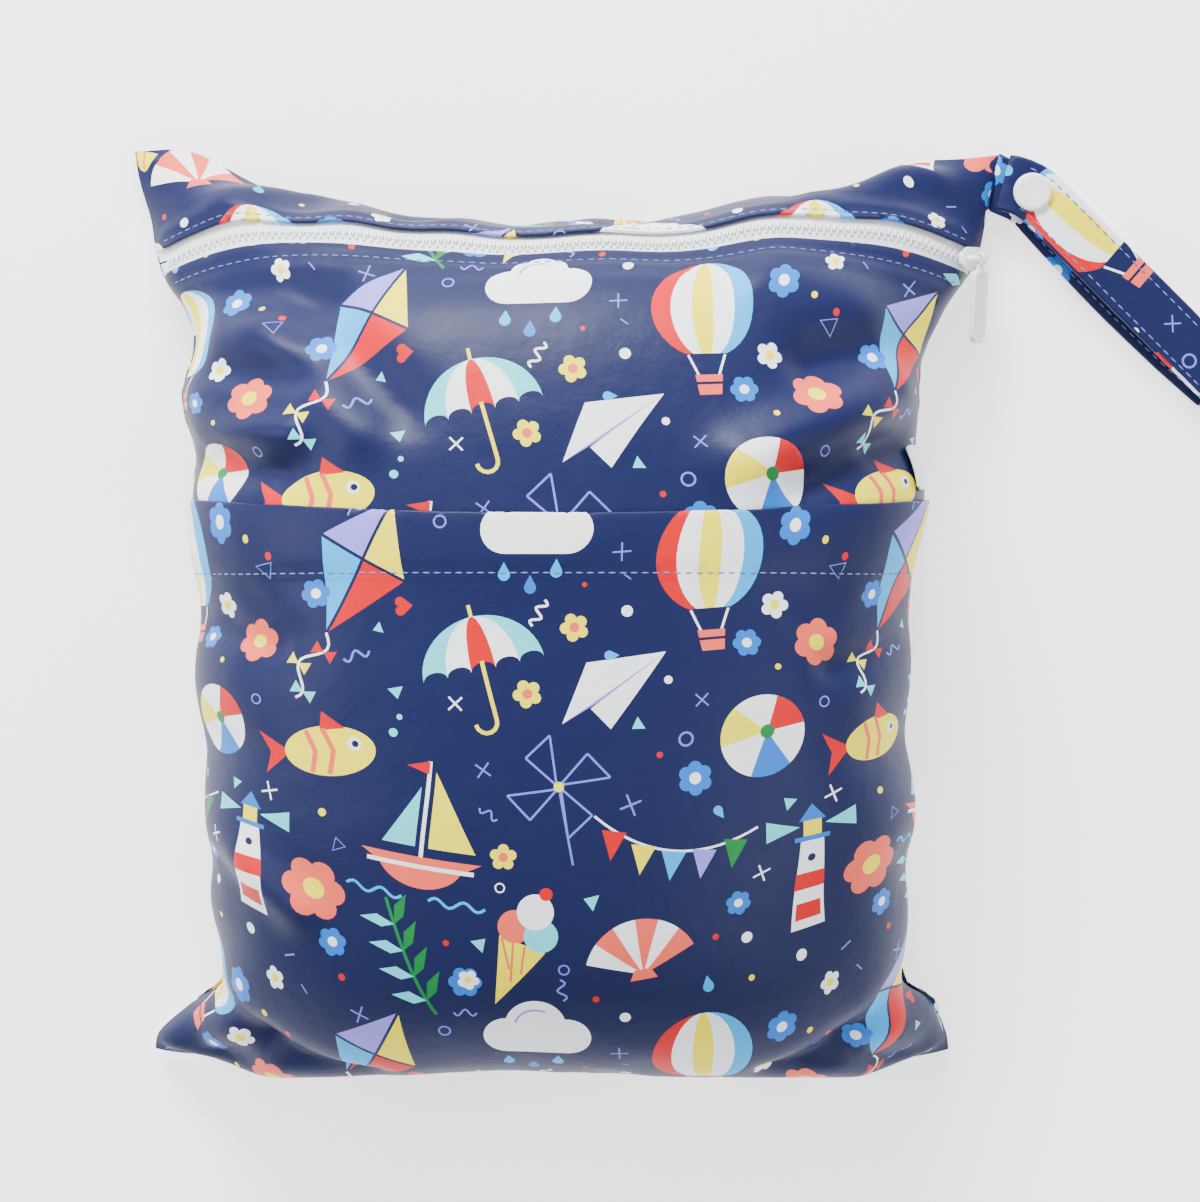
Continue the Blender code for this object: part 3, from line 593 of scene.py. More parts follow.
def bunting():
    string = [(x, 0.012 * x * x) for x in range(-27, 28, 3)]
    parts = [(stroke(string, 0.8), "white")]
    inks = ("red", "yellow", "cyan", "lilac", "green")
    for index, ink in enumerate(inks):
        x = -20 + index * 10
        y = 0.012 * x * x
        parts.append(([(x - 4, y - 0.2), (x + 4, y - 0.2), (x, y - 10)], ink))
    return parts


def paper_plane():
    return [([(-18, -8), (20, 8), (-6, 10)], "white"), ([(-18, -8), (20, 8), (-4, -3)],
                                                        "lilac"),
            ([(-8, -5), (20, 8), (-3, -13)], "white")]


def pinwheel():
    """A toy windmill on its stick, in thin lines."""
    corners = [(0.6, 0.6), (17, 0), (11, 9), (0.6, 0.6)]
    vane = [(stroke(list(side), 0.7), "line") for side in zip(corners, corners[1:])]
    parts = []
    for step in range(4):
        parts += placed(vane, 0, 0, math.pi / 2 * step)
    return parts + [(stroke([(0, -2), (0, -26)], 0.7), "line"), (arc(0, 0, 1.7), "yellow")]


def shell():
    parts = []
    for index in range(6):
        low, high = 20 + index * 23.4, 20 + (index + 1) * 23.4
        parts.append(([(0, -10)] + [(x, y - 10) for x, y in arc(0, 0, 21, low, high)],
                      ("salmon", "white")[index % 2]))
    return parts + [([(-5, -12), (5, -12), (3, -8), (-3, -8)], "salmon")]


def small_doodles():
    """Little things that fill the gaps, each a list of outlines with inks."""
    return [
        [(arc(0, 0, 1.6), "white")], [(arc(0, 0, 1.2), "yellow")], [(arc(0, 0, 1.0), "red")],
        loop_line(arc(0, 0, 2.2), 0.6, "line", "navy"),
        loop_line(arc(0, 0, 1.8), 0.5, "white", "navy"),
        [(stroke([(-3, 0), (3, 0)], 0.6), "white"), (stroke([(0, -3), (0, 3)], 0.6),
                                                     "white")],
        [(stroke([(-2.4, -2.4), (2.4, 2.4)], 0.6), "line"),
         (stroke([(-2.4, 2.4), (2.4, -2.4)], 0.6), "line")],
        [([(0, 3.6)] + arc(0, 0, 1.7, 20, -200), "cyan")],
        [([(-2, -1.6), (2.2, -1), (0, 2.6)], "aqua")],
        loop_line([(-2.6, -2), (2.6, -2), (0, 3.4)], 0.6, "line", "navy"),
        [(stroke([(0, 0), (2.4, 2.6)], 0.5), "line")],
        [(stroke(wave(-5, 5, 0, 1.6, 2), 0.9), "white")],
        [(stroke(wave(-4, 4, 0, 1.4, 1.5), 0.7), "line")],
        [([(0, -3.4)] + arc(1.7, 1.2, 1.9, -30, 170) + arc(-1.7, 1.2, 1.9, 10, 210), "red")],
        flower("white", "yellow", 4.0, 5), flower("blue", "white", 4.6, 6),
        flower("yellow", "salmon", 4.4, 5),
    ]


# Each large doodle with its place in the tile, its turn in degrees and its scale
LARGE = (
    (kite, 30, 135, -28, 1.0), (cloud, 88, 150, 0, 1.05), (balloon, 145, 132, 4, 1.15),
    (fish, 20, 74, 8, 1.0), (umbrella, 72, 104, 14, 1.0), (paper_plane, 113, 98, 12, 1.0),
    (beach_ball, 163, 80, 0, 0.95), (sailboat, 52, 48, -5, 1.1), (pinwheel, 96, 66, 10, 1.0),
    (bunting, 133, 44, -8, 1.0), (lighthouse, 180, 30, 0, 0.9),
    (flower, 14, 24, 0, 1.2), (ice_cream, 84, 14, -22, 1.0), (shell, 122, 12, 8, 0.9),
    (sprig, 45, 4, 32, 1.0), (flower, 182, 112, 20, 0.9),
)


SMALL_COUNT, SMALL_TRIES = 62, 6000
CLEAR_OF_LARGE, CLEAR_OF_SMALL = 6.5, 9   # millimetres round a small doodle's middle


def print_tile():
    """Every outline of one repeat of the print with its ink, lowest first."""
    rng = random.Random(11)
    parts, taken = [], []
    for draw, x, y, turn, scale in LARGE:
        parts += placed(draw(), x, y, math.radians(turn), scale)
    # Each outline and its inside are kept clear of the small doodles
    for points, _ in parts:
        outline = np.array(points)
        middle = outline.mean(axis=0)
        taken += [middle + (outline - middle) * share for share in (1, 0.7, 0.4, 0)]
    taken = np.concatenate(taken)
    smalls, spots, tries = small_doodles(), [], 0
    while len(spots) < SMALL_COUNT and tries < SMALL_TRIES:
        tries += 1
        x, y = rng.uniform(0, TILE_WIDTH), rng.uniform(0, TILE_HEIGHT)
        dx = np.abs(taken[:, 0] - x) % TILE_WIDTH
        dy = np.abs(taken[:, 1] - y) % TILE_HEIGHT
        away = np.hypot(np.minimum(dx, TILE_WIDTH - dx), np.minimum(dy, TILE_HEIGHT - dy))
        if away.min() < CLEAR_OF_LARGE or any(
                math.hypot(x - a, y - b) < CLEAR_OF_SMALL for a, b in spots):
            continue
        spots.append((x, y))
        turn, scale = rng.uniform(0, math.tau), rng.uniform(0.85, 1.25)
        parts += placed(rng.choice(smalls), x, y, turn, scale)
    return parts


PRINT = print_tile()


def dense(points, step):
    """The same outline, anticlockwise, with points added where its sides are long."""
    result = []
    area = sum(x0 * y1 - x1 * y0 for (x0, y0), (x1, y1) in zip(points, points[1:] + points[:1]))
    if area < 0:
        points = points[::-1]
    for (x0, y0), (x1, y1) in zip(points, points[1:] + points[:1]):
        count = max(1, math.ceil(math.hypot(x1 - x0, y1 - y0) / step))
        result += [(x0 + (x1 - x0) * i / count, y0 + (y1 - y0) * i / count)
                   for i in range(count)]
    return result


def printed_mesh(name, s_range, t_range, shift, extra_t=(), extra_s=()):
    """A flat mesh of printed cloth whose edges follow the doodles, with its places.

    The corner colours are the inks, and the UV map holds the places in metres."""
    s0, s1, t0, t1 = (value * 1000 for value in (*s_range, *t_range))
    step = GRID * 1000
    wide, tall = max(2, round((s1 - s0) / step)), max(2, round((t1 - t0) / step / 0.87))
    across = np.linspace(s0, s1, wide + 1)
    rows = np.linspace(t0, t1, tall + 1)
    border = dense([(s0, t0), (s1, t0), (s1, t1), (s0, t1)], step)
    points = list(border)
    half = (across[1] - across[0]) / 2
    for index, y in enumerate(rows[1:-1]):
        if any(abs(y - extra * 1000) < 1.0 for extra in extra_t):
            continue
        shifted = across[1:-1] if index % 2 else across[:-1] + half
        points += [(x, y) for x in shifted
                   if all(abs(x - extra * 1000) > 1.0 for extra in extra_s)]
    for y in extra_t:
        points += [(x, y * 1000) for x in across[1:-1]]
    for x in extra_s:
        points += [(x * 1000, y) for y in rows[1:-1]]
    faces, inks = [list(range(len(border)))], ["navy"]
    for column in range(math.floor((s0 - shift[0]) / TILE_WIDTH) - 1,
                        math.ceil((s1 - shift[0]) / TILE_WIDTH) + 1):
        for row in range(math.floor((t0 - shift[1]) / TILE_HEIGHT) - 1,
                         math.ceil((t1 - shift[1]) / TILE_HEIGHT) + 1):
            x0, y0 = column * TILE_WIDTH + shift[0], row * TILE_HEIGHT + shift[1]
            for outline, ink in PRINT:
                moved = [(x + x0, y + y0) for x, y in outline]
                xs, ys = zip(*moved)
                if max(xs) < s0 or min(xs) > s1 or max(ys) < t0 or min(ys) > t1:
                    continue
                moved = dense(moved, step)
                faces.append(list(range(len(points), len(points) + len(moved))))
                points += moved
                inks.append(ink)
    verts, _, triangles, _, _, owners = delaunay_2d_cdt(
        [Vector(point) for point in points], [], faces, 1, 1e-3)
    kept = [(face, max(owner)) for face, owner in zip(triangles, owners) if 0 in owner]
    mesh = bpy.data.meshes.new(name)
    places = np.array([tuple(vert) for vert in verts]) / 1000
    mesh.from_pydata([(s, t, 0.0) for s, t in places], [], [face for face, _ in kept])
    colors = mesh.color_attributes.new("print", "FLOAT_COLOR", "CORNER")
    uv = mesh.uv_layers.new(name="cloth")
    loops = np.zeros(len(mesh.loops), int)
    mesh.loops.foreach_get("vertex_index", loops)
    uv.data.foreach_set("uv", places[loops].ravel())
    tones = {ink: linear(color) for ink, color in INK.items()}
    corner = np.repeat([tones[inks[owner]] for _, owner in kept],
                       [len(face) for face, _ in kept], axis=0)
    colors.data.foreach_set("color", corner.ravel())
    return mesh, places[:, 0], places[:, 1]


def finish_piece(mesh, name, shader, stands_for=None, body="root", smooth=True):
    """A mesh as a shown object that rides on a body and stands for a solid."""
    mesh.name = name
    if smooth:
        mesh.shade_smooth()
    mesh.materials.clear()
    mesh.materials.append(shader)
    obj = bpy.data.objects.new(name, mesh)
    bpy.context.scene.collection.objects.link(obj)
    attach(obj, body)
    if stands_for:
        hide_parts(stands_for)
    return obj


def place_points(mesh, points):
    mesh.vertices.foreach_set("co", np.ascontiguousarray(points, dtype=float).ravel())
    mesh.update()


CURL_STEPS = 7


def curl_rows(edge, direction):
    """Extra rows of points round a folded edge."""
    return [edge + direction * math.pi * CURL * step / CURL_STEPS
            for step in range(CURL_STEPS + 1)]


def panel(name, node, grid, t_low, t_high, shift, lift, fold_low=False, fold_high=False,
          extra=()):
    """A printed cloth panel between two heights, with folded edges where asked."""
    turn_in = math.pi * CURL + 0.0045
    low = t_low - turn_in if fold_low else t_low
    high = t_high + turn_in if fold_high else t_high
    rows = list(extra)
    if fold_low:
        rows += curl_rows(t_low, -1)
    if fold_high:
        rows += curl_rows(t_high, 1)
    mesh, s, t = printed_mesh(name, (-HALF_FLAT, HALF_FLAT), (low, high), shift, rows)
    inside = np.clip(t, t_low, t_high)
    point, out, up = lay(grid, s, inside, lift(s, inside))
    past = np.where(t > t_high, t - t_high, np.where(t < t_low, t_low - t, 0.0))
    side = np.where(t > t_high, 1.0, -1.0)
    turned = np.minimum(past / CURL, math.pi)
    straight = np.maximum(past - math.pi * CURL, 0)
    along = CURL * np.sin(turned) - straight
    down = CURL * (1 - np.cos(turned))
    point = point + up * (side * along)[:, None] - out * down[:, None]
    place_points(mesh, point)
    if grid is BACK:
        mesh.flip_normals()
    obj = finish_piece(mesh, name, KNIT, node)


def sewn_edge(s, t):
    """1 on the open cloth, falling to 0 at the side and bottom seams."""
    sides = soft_step(HALF_FLAT - np.abs(s), 0.0, 0.010)
    return sides * soft_step(t, 0.0, 0.008)


def stitch_dip(t, line):
    """How deep a row of stitches draws the cloth in."""
    return 0.0006 * np.exp(-((t - line) / 0.0012) ** 2)


def pocket_lift(s, t):
    """The pocket stands off the front, most of all at its mouth."""
    loose = soft_step(t, POCKET_DEPTH - 0.045, POCKET_DEPTH) * MOUTH_LIFT
    loose = loose * (1 - np.abs(s / HALF_FLAT) ** 6)
    hem = soft_step(t, POCKET_DEPTH - HEM - 0.0012, POCKET_DEPTH - HEM + 0.0004) * HEM_LIFT
    dip = stitch_dip(t, POCKET_STITCHES)
    return (POCKET_LIFT + loose + hem - dip) * (0.15 + 0.85 * sewn_edge(s, t))


def front_lift(s, t):
    """The edge turned in below the zip is twice as thick."""
    hem = FOLD_LIFT * soft_step(t, STRIP_LOW - 0.012, STRIP_LOW - 0.009)
    return (hem - stitch_dip(t, LOWER_STITCHES)) * sewn_edge(s, t)


def band_lift(s, t):
    """The edge turned in above the zip is twice as thick."""
    hem = FOLD_LIFT * (1 - soft_step(t, STRIP_HIGH + 0.007, STRIP_HIGH + 0.010))
    return (hem - stitch_dip(t, UPPER_STITCHES)) * sewn_edge(s, t)


def back_lift(s, t):
    """Gathers along the back's rim, where its cloth has more length than the seam."""
    side, end = HALF_FLAT - np.abs(s), np.minimum(t, FRONT_CLOTH - t)
    near_side = np.exp(-((side - 0.020) / 0.013) ** 2) * soft_step(side, 0, 0.008)
    near_end = np.exp(-((end - 0.020) / 0.013) ** 2) * soft_step(end, 0, 0.008)
    along_side = np.sin(math.tau * t / 0.0135 + 6 * np.sin(19 * t) + np.sign(s))
    along_end = np.sin(math.tau * s / 0.0150 + 5 * np.sin(23 * s) + 1)
    return 0.0011 * (near_side * along_side + near_end * along_end)


# Materials

def add(tree, kind, inputs=None, **settings):
    """A node with its settings, and its inputs as values or as other nodes' outputs."""
    made = tree.nodes.new(kind)
    for name, value in settings.items():
        setattr(made, name, value)
    for name, value in (inputs or {}).items():
        if isinstance(value, bpy.types.NodeSocket):
            tree.links.new(value, made.inputs[name])
        else:
            made.inputs[name].default_value = value
    return made


def new_material(name, **inputs):
    """A material whose Principled shader has the given inputs, with its tree and shader."""
    made = bpy.data.materials.new(name)
    made.use_nodes = True
    shader = made.node_tree.nodes["Principled BSDF"]
    for key, value in inputs.items():
        shader.inputs[key.replace("_", " ")].default_value = value
    return made, made.node_tree, shader


def raise_surface(tree, shader, height, strength, distance):
    """Bump the shader's surface by a texture, over any bumps that it has already."""
    inputs = {"Height": height.outputs["Fac"], "Strength": strength, "Distance": distance}
    if shader.inputs["Normal"].links:
        inputs["Normal"] = shader.inputs["Normal"].links[0].from_socket
    bump = add(tree, "ShaderNodeBump", inputs)
    tree.links.new(bump.outputs["Normal"], shader.inputs["Normal"])


def printed_knit():
    """Laminated polyester knit: fine ribs soften its plastic-like shine."""
    made, tree, shader = new_material("printed_polyester_knit",
                                     Specular_IOR_Level=0.22)
    ink = add(tree, "ShaderNodeAttribute", attribute_name="print")
    place = add(tree, "ShaderNodeUVMap", uv_map="cloth")
    knit = add(tree, "ShaderNodeTexNoise", {
        "Vector": place.outputs["UV"], "Scale": 1400.0, "Detail": 2.0})
    rumple = add(tree, "ShaderNodeTexNoise", {
        "Vector": place.outputs["UV"], "Scale": 55.0, "Detail": 4.0, "Roughness": 0.55})
    tree.links.new(ink.outputs["Color"], shader.inputs["Base Color"])
    raise_surface(tree, shader, rumple, 0.35, 0.0016)
    raise_surface(tree, shader, knit, 0.25, 0.00012)
    worn = add(tree, "ShaderNodeMapRange", {
        "Value": rumple.outputs["Fac"], "To Min": 0.38, "To Max": 0.52})
    tree.links.new(worn.outputs["Result"], shader.inputs["Roughness"])
    return made


def woven_tape():
    """White polyester tape: close-set weave that scatters light evenly."""
    made, tree, shader = new_material(
        "woven_polyester_tape", Base_Color=linear("#f1f2f5"), Roughness=0.75)
    place = add(tree, "ShaderNodeTexCoord")
    ribs = add(tree, "ShaderNodeTexWave", {
        "Vector": place.outputs["Object"], "Scale": 260.0, "Distortion": 1.5})
    raise_surface(tree, shader, ribs, 0.3, 0.00015)
    return made


def moulded_plastic(name, color, roughness):
    """Moulded white plastic: smooth, with a soft highlight."""
    made, tree, shader = new_material(
        name, Base_Color=linear(color), Roughness=roughness)
    place = add(tree, "ShaderNodeTexCoord")
    grain = add(tree, "ShaderNodeTexNoise", {
        "Vector": place.outputs["Object"], "Scale": 900.0, "Detail": 2.0})
    raise_surface(tree, shader, grain, 0.08, 0.0001)
    return made


def spun_thread():
    """Pale blue polyester thread, matt against the smoother cloth."""
    return new_material("polyester_thread", Base_Color=linear("#6672b4"),
                        Roughness=0.65)[0]


def satin_ribbon():
    """Bare white ribbon with a low shine."""
    return new_material("satin_ribbon", Base_Color=linear("#eceef0"), Roughness=0.5)[0]


KNIT, TAPE, THREAD, RIBBON = printed_knit(), woven_tape(), spun_thread(), satin_ribbon()
ZIP_PLASTIC = moulded_plastic("coated_zip_parts", "#f2f3f5", 0.36)
SNAP_PLASTIC = moulded_plastic("moulded_snap", "#f4f5f7", 0.28)


# Building blocks for the small parts

def grid_mesh(columns, rows, place, close=False):
    """A bmesh grid whose points a function of column and row numbers puts in place."""
    mesh = bmesh.new()
    made = bmesh.ops.create_grid(mesh, x_segments=columns - 1, y_segments=rows - 1, size=1)
    for vert in made["verts"]:
        column = round((vert.co.x + 1) / 2 * (columns - 1))
        row = round((vert.co.y + 1) / 2 * (rows - 1))
        vert.co = place(column, row)
    if close:
        bmesh.ops.remove_doubles(mesh, verts=mesh.verts, dist=1e-6)
        bmesh.ops.recalc_face_normals(mesh, faces=mesh.faces)
    return mesh


def to_mesh(mesh, name, sharp=None):
    data = bpy.data.meshes.new(name)
    mesh.to_mesh(data)
    mesh.free()
    data.shade_smooth()
    if sharp is not None:
        data.set_sharp_from_angle(angle=math.radians(sharp))
    return data


def sweep(path, section_points, side):
    """A closed tube: the section carried along the path. side is the section's X."""
    path = [Vector(point) for point in path]
    side = Vector(side).normalized()
    frames = []
    for index, point in enumerate(path):
        ahead = (path[min(index + 1, len(path) - 1)] - path[max(index - 1, 0)]).normalized()
        frames.append((point, side, ahead.cross(side).normalized()))
    ring = list(section_points) + [section_points[0]]

    def place(column, row):
        point, across, up = frames[row]
        return point + across * ring[column][0] + up * ring[column][1]

    mesh = grid_mesh(len(ring), len(path), place, close=True)
    bmesh.ops.holes_fill(mesh, edges=[e for e in mesh.edges if e.is_boundary], sides=0)
    bmesh.ops.recalc_face_normals(mesh, faces=mesh.faces)
    return mesh


def copies(template, frames, name):
    """One mesh of many copies of a template. A frame is a place and three directions."""
    base = np.array([vert.co for vert in template.verts])
    polygons = np.array([[vert.index for vert in face.verts] for face in template.faces],
                        dtype=object)
    places, x_axes, y_axes, z_axes = (np.array(part) for part in frames)
    points = (places[:, None] + base[None, :, :1] * x_axes[:, None]
              + base[None, :, 1:2] * y_axes[:, None] + base[None, :, 2:] * z_axes[:, None])
    faces = [[index + shift for index in polygon]
             for shift in range(0, len(places) * len(base), len(base))
             for polygon in polygons]
    mesh = bpy.data.meshes.new(name)
    mesh.from_pydata(points.reshape(-1, 3).tolist(), [], faces)
    template.free()
    return mesh


STITCH, STITCH_PITCH, THREAD_SIZE = 0.0026, 0.0036, 0.00055


def stitch_frames(points, outs):
    """Frames of stitches at even steps along a line of points."""
    lengths = np.linalg.norm(np.diff(points, axis=0), axis=1)
    walked = np.concatenate(([0], np.cumsum(lengths)))
    at = np.arange(STITCH_PITCH, walked[-1] - STITCH_PITCH, STITCH_PITCH)
    middle = np.stack([np.interp(at, walked, points[:, axis]) for axis in range(3)], -1)
    ahead = np.stack([np.interp(at + 5e-4, walked, points[:, axis]) for axis in range(3)],
                     -1) - middle
    ahead /= np.linalg.norm(ahead, axis=1, keepdims=True)
    out = np.stack([np.interp(at, walked, outs[:, axis]) for axis in range(3)], -1)
    side = np.cross(out, ahead)
    side /= np.linalg.norm(side, axis=1, keepdims=True)
    return middle, ahead, side, np.cross(ahead, side)


def stitches(name, lines):
    """Rows of short stitches, each a thread that dips into the cloth at both ends."""
    template = bmesh.new()
    bmesh.ops.create_uvsphere(template, u_segments=6, v_segments=5, radius=1.0)
    bmesh.ops.rotate(template, verts=template.verts, matrix=Matrix.Rotation(
        math.pi / 2, 3, "Y"))
    for vert in template.verts:
        vert.co = (vert.co.x * STITCH / 2, vert.co.y * THREAD_SIZE / 2,
                   vert.co.z * THREAD_SIZE / 2 - 0.00012 * vert.co.x ** 2)
    template.verts.index_update()
    frames = [stitch_frames(*line) for line in lines]
    mesh = copies(template, [np.concatenate(part) for part in zip(*frames)], name)
    finish_piece(mesh, name, THREAD)


def cloth_line(t, lift, inset=0.004, count=240):
    """A line across the front's cloth at one height, for stitches."""
    s = np.linspace(-HALF_FLAT + inset, HALF_FLAT - inset, count)
    rows = np.full(count, t)
    return lay(FRONT, s, rows, lift(s, rows) + 0.00012)[:2]


# Pieces

def make_cloth():
    """The four cut pieces, each with its stretch of the print."""
    panel("front_panel_cloth", "front_panel", FRONT, 0.0, STRIP_LOW - CURL, FRONT_PRINT,
          front_lift, fold_high=True)
    panel("top_band_cloth", "top_band", FRONT, STRIP_HIGH + CURL, FRONT_CLOTH, BAND_PRINT,
          band_lift, fold_low=True)
    panel("back_panel_cloth", "back_panel", BACK, 0.0, FRONT_CLOTH, BACK_PRINT, back_lift)
    hem = POCKET_DEPTH - HEM
    panel("front_pocket_cloth", "front_pocket", FRONT, 0.0, POCKET_DEPTH, POCKET_PRINT,
          pocket_lift, fold_high=True, extra=(hem - 0.0012, hem, hem + 0.0012))


def make_stitches():
    """The rows along both sides of the zip and along the pocket's hem."""
    stitches("bag_stitches", [
        cloth_line(LOWER_STITCHES, front_lift), cloth_line(UPPER_STITCHES, band_lift),
        cloth_line(POCKET_STITCHES, pocket_lift),
    ])


def zip_tape(name, node, t_low, t_high):
    """A strip of tape under the folded edges."""
    rows, columns = 6, 110

    def place(column, row):
        s = (column / (columns - 1) * 2 - 1) * (HALF_FLAT - 0.0003)
        t = t_low + (t_high - t_low) * row / (rows - 1)
        sunk = 0.15 + 0.85 * soft_step(HALF_FLAT - abs(s), 0.0, 0.006)
        return Vector(lay(FRONT, [s], [t], -TAPE_DEPTH * sunk)[0][0])

    mesh = to_mesh(grid_mesh(columns, rows, place), name)
    obj = finish_piece(mesh, name, TAPE, node)


TOOTH_PITCH = 0.00125


def make_coil():
    """Two rows of coil loops that mesh in the middle of the zip."""
    template = bmesh.new()
    bmesh.ops.create_cube(template, size=1.0)
    bmesh.ops.scale(template, verts=template.verts, vec=(0.00090, 0.0027, 0.0008))
    bmesh.ops.bevel(template, geom=template.edges[:], offset=0.00024, segments=2,
                    profile=0.5, affect="EDGES", material=-1)
    template.verts.index_update()
    length = 2 * HALF_FLAT - 0.008
    count = int(length / TOOTH_PITCH)
    s = (np.arange(count) - (count - 1) / 2) * TOOTH_PITCH
    side = np.where(np.arange(count) % 2, 1.0, -1.0)
    points, outs, ups = lay(FRONT, s, ZIP + side * 0.00065, -TAPE_DEPTH + 0.0004)
    across = np.cross(ups, outs)
    mesh = copies(template, (points, across, ups, outs), "zip_coil_teeth")
    finish_piece(mesh, "zip_coil_teeth", ZIP_PLASTIC, "zip_coil")


PULL_JOINT = next(joint for joint in frame["joints"] if joint["child"] == "pull")
BAR_PLACE = Vector(PULL_JOINT["pos_m"])
BAR_AXIS = -Vector(PULL_JOINT["axis"]).normalized()
BRIDGE_CLEAR = 0.0029
SLIDER_SIZE = (0.0105, 0.0080, 0.0026)
PULL_LENGTH, PULL_WIDTH, PULL_THICKNESS, PULL_NECK = 0.0285, 0.0074, 0.0017, 0.0036
PULL_DROOP = math.radians(3)


def slider_matrix():
    """Placing of the slider: its bar along X and Z straight out of the bag."""
    out = Vector((-BAR_AXIS.z, 0, BAR_AXIS.x))
    turned = Matrix((BAR_AXIS, Vector((0, 1, 0)), out)).transposed().to_4x4()
    return Matrix.Translation(BAR_PLACE) @ turned


def bevelled_box(size, middle, corner, edge):
    """A box with rounded upright corners and softened rims."""
    mesh = bmesh.new()
    bmesh.ops.create_cube(mesh, size=1.0, matrix=Matrix.Translation(middle)
                          @ Matrix.Diagonal((*size, 1.0)))
    upright = [e for e in mesh.edges
               if abs(e.verts[0].co.z - e.verts[1].co.z) > size[2] / 2]
    bmesh.ops.bevel(mesh, geom=upright, offset=corner, segments=6, profile=0.5,
                    affect="EDGES", material=-1)
    rims = [e for e in mesh.edges if abs(e.verts[0].co.z - e.verts[1].co.z) < 1e-6]
    bmesh.ops.bevel(mesh, geom=rims, offset=edge, segments=2, profile=0.5,
                    affect="EDGES", material=-1)
    return mesh


def join(base, other):
    """Copy another bmesh into the base and free it."""
    scratch = bpy.data.meshes.new("scratch")
    other.to_mesh(scratch)
    other.free()
    base.from_mesh(scratch)
    bpy.data.meshes.remove(scratch)


def circle(radius, sides):
    return [(radius * math.cos(math.tau * step / sides),
             radius * math.sin(math.tau * step / sides)) for step in range(sides)]


def make_slider():
    """The slider's two plates, its arched bridge and the hanging pull."""
    top = -BRIDGE_CLEAR
    length, width, height = SLIDER_SIZE
    plate = 0.0009
    mesh = bevelled_box((length, width, plate), Vector((0, 0, top - plate / 2)),
                        width * 0.30, 0.00025)
    join(mesh, bevelled_box((length * 0.96, width * 0.62, height - plate),
                            Vector((0, 0, top - plate - (height - plate) / 2)),
                            width * 0.2, 0.0002))
    half = 0.0030
    arch = [(-half * math.cos(math.pi * i / 16), 0,
             top - 0.0002 + (-top + 0.0002) * math.sin(math.pi * i / 16) ** 0.55)
            for i in range(17)]
    section_points = [(x * 1.35, y) for x, y in circle(0.0008, 10)]
    join(mesh, sweep(arch, section_points, (0, 1, 0)))
    bmesh.ops.transform(mesh, matrix=slider_matrix(), verts=mesh.verts)
    finish_piece(to_mesh(mesh, "zip_slider_body", 35), "zip_slider_body", ZIP_PLASTIC,
                 "zip_slider", smooth=False)

    tab = PULL_LENGTH - PULL_NECK
    mesh = bevelled_box((PULL_WIDTH, tab, PULL_THICKNESS),
                        Vector((0, -(PULL_NECK + tab / 2), 0)), PULL_WIDTH * 0.42, 0.0003)
    faces = [f for f in mesh.faces if abs(f.normal.z) > 0.9 and f.calc_area() > tab * 1e-3]
    bmesh.ops.inset_individual(mesh, faces=faces, thickness=0.0010, depth=0.0)
    bmesh.ops.inset_individual(mesh, faces=faces, thickness=0.0003, depth=-0.00025)
    ring_radius = 0.0019
    ring = [(0, ring_radius * math.cos(math.tau * i / 24), ring_radius * math.sin(
        math.tau * i / 24)) for i in range(25)]
    eye = sweep(ring, circle(0.00052, 8), (1, 0, 0))
    bmesh.ops.scale(eye, verts=eye.verts, vec=(2.2, 1, 1))
    join(mesh, eye)
    join(mesh, bevelled_box((0.0026, 0.0034, 0.0011), Vector((0, -0.0034, 0)), 0.0003,
                            0.0002))
    bmesh.ops.transform(mesh, matrix=slider_matrix() @ Matrix.Rotation(
        PULL_DROOP, 4, "X"), verts=mesh.verts)
    finish_piece(to_mesh(mesh, "zip_pull_tab", 35), "zip_pull_tab", ZIP_PLASTIC,
                 "zip_pull", body="pull", smooth=False)


STRAP_WIDTH, STRAP, STRAP_REACH, STRAP_OPEN = 0.0195, 0.0020, 0.1135, 0.0080
STRAP_SKEW, STRAP_END, STRAP_SEWN_IN = 0.0035, 0.0035, 0.0010
STRAP_BEND_START, STRAP_BEND_LENGTH = 0.0075, 0.012
STRAP_BEND, STRAP_START_TURN = math.radians(45), math.radians(-15)
STRAP_STITCH = 0.0028        # from the strap's edge to its stitches
SNAP_REACH, SNAP_CAP, SNAP_HEIGHT, LAYER_GAP = 0.0140, 0.0130, 0.0034, 0.0005


def strap_root():
    """Middle of the strap's stretch of side seam, and that seam's direction."""
    edge = FRONT[1:-1, -2][::-1]
    walked = np.concatenate(([0], np.cumsum(np.linalg.norm(np.diff(edge, axis=0), axis=1))))
    top = Vector(edge[0])
    low = Vector([np.interp(STRAP_WIDTH, walked, edge[:, axis]) for axis in range(3)])
    seam = Vector((top.x - low.x, top.y - low.y, 0)).normalized()
    return (top + low) / 2 - Vector((seam.y, -seam.x, 0)) * STRAP_SEWN_IN, seam


ROOT, SEAM = strap_root()


def strap_plan(distance):
    """Place and heading of the strap's middle line on the floor plan."""
    place, heading, steps = Vector((ROOT.x, ROOT.y, 0)), STRAP_START_TURN, 24
    for step in range(steps):
        walked = distance * (step + 0.5) / steps
        turned = min(max((walked - STRAP_BEND_START) / STRAP_BEND_LENGTH, 0), 1)
        heading = STRAP_START_TURN - (STRAP_BEND + STRAP_START_TURN) * turned
        place += Vector((math.cos(heading), math.sin(heading), 0)) * distance / steps
    return place, heading


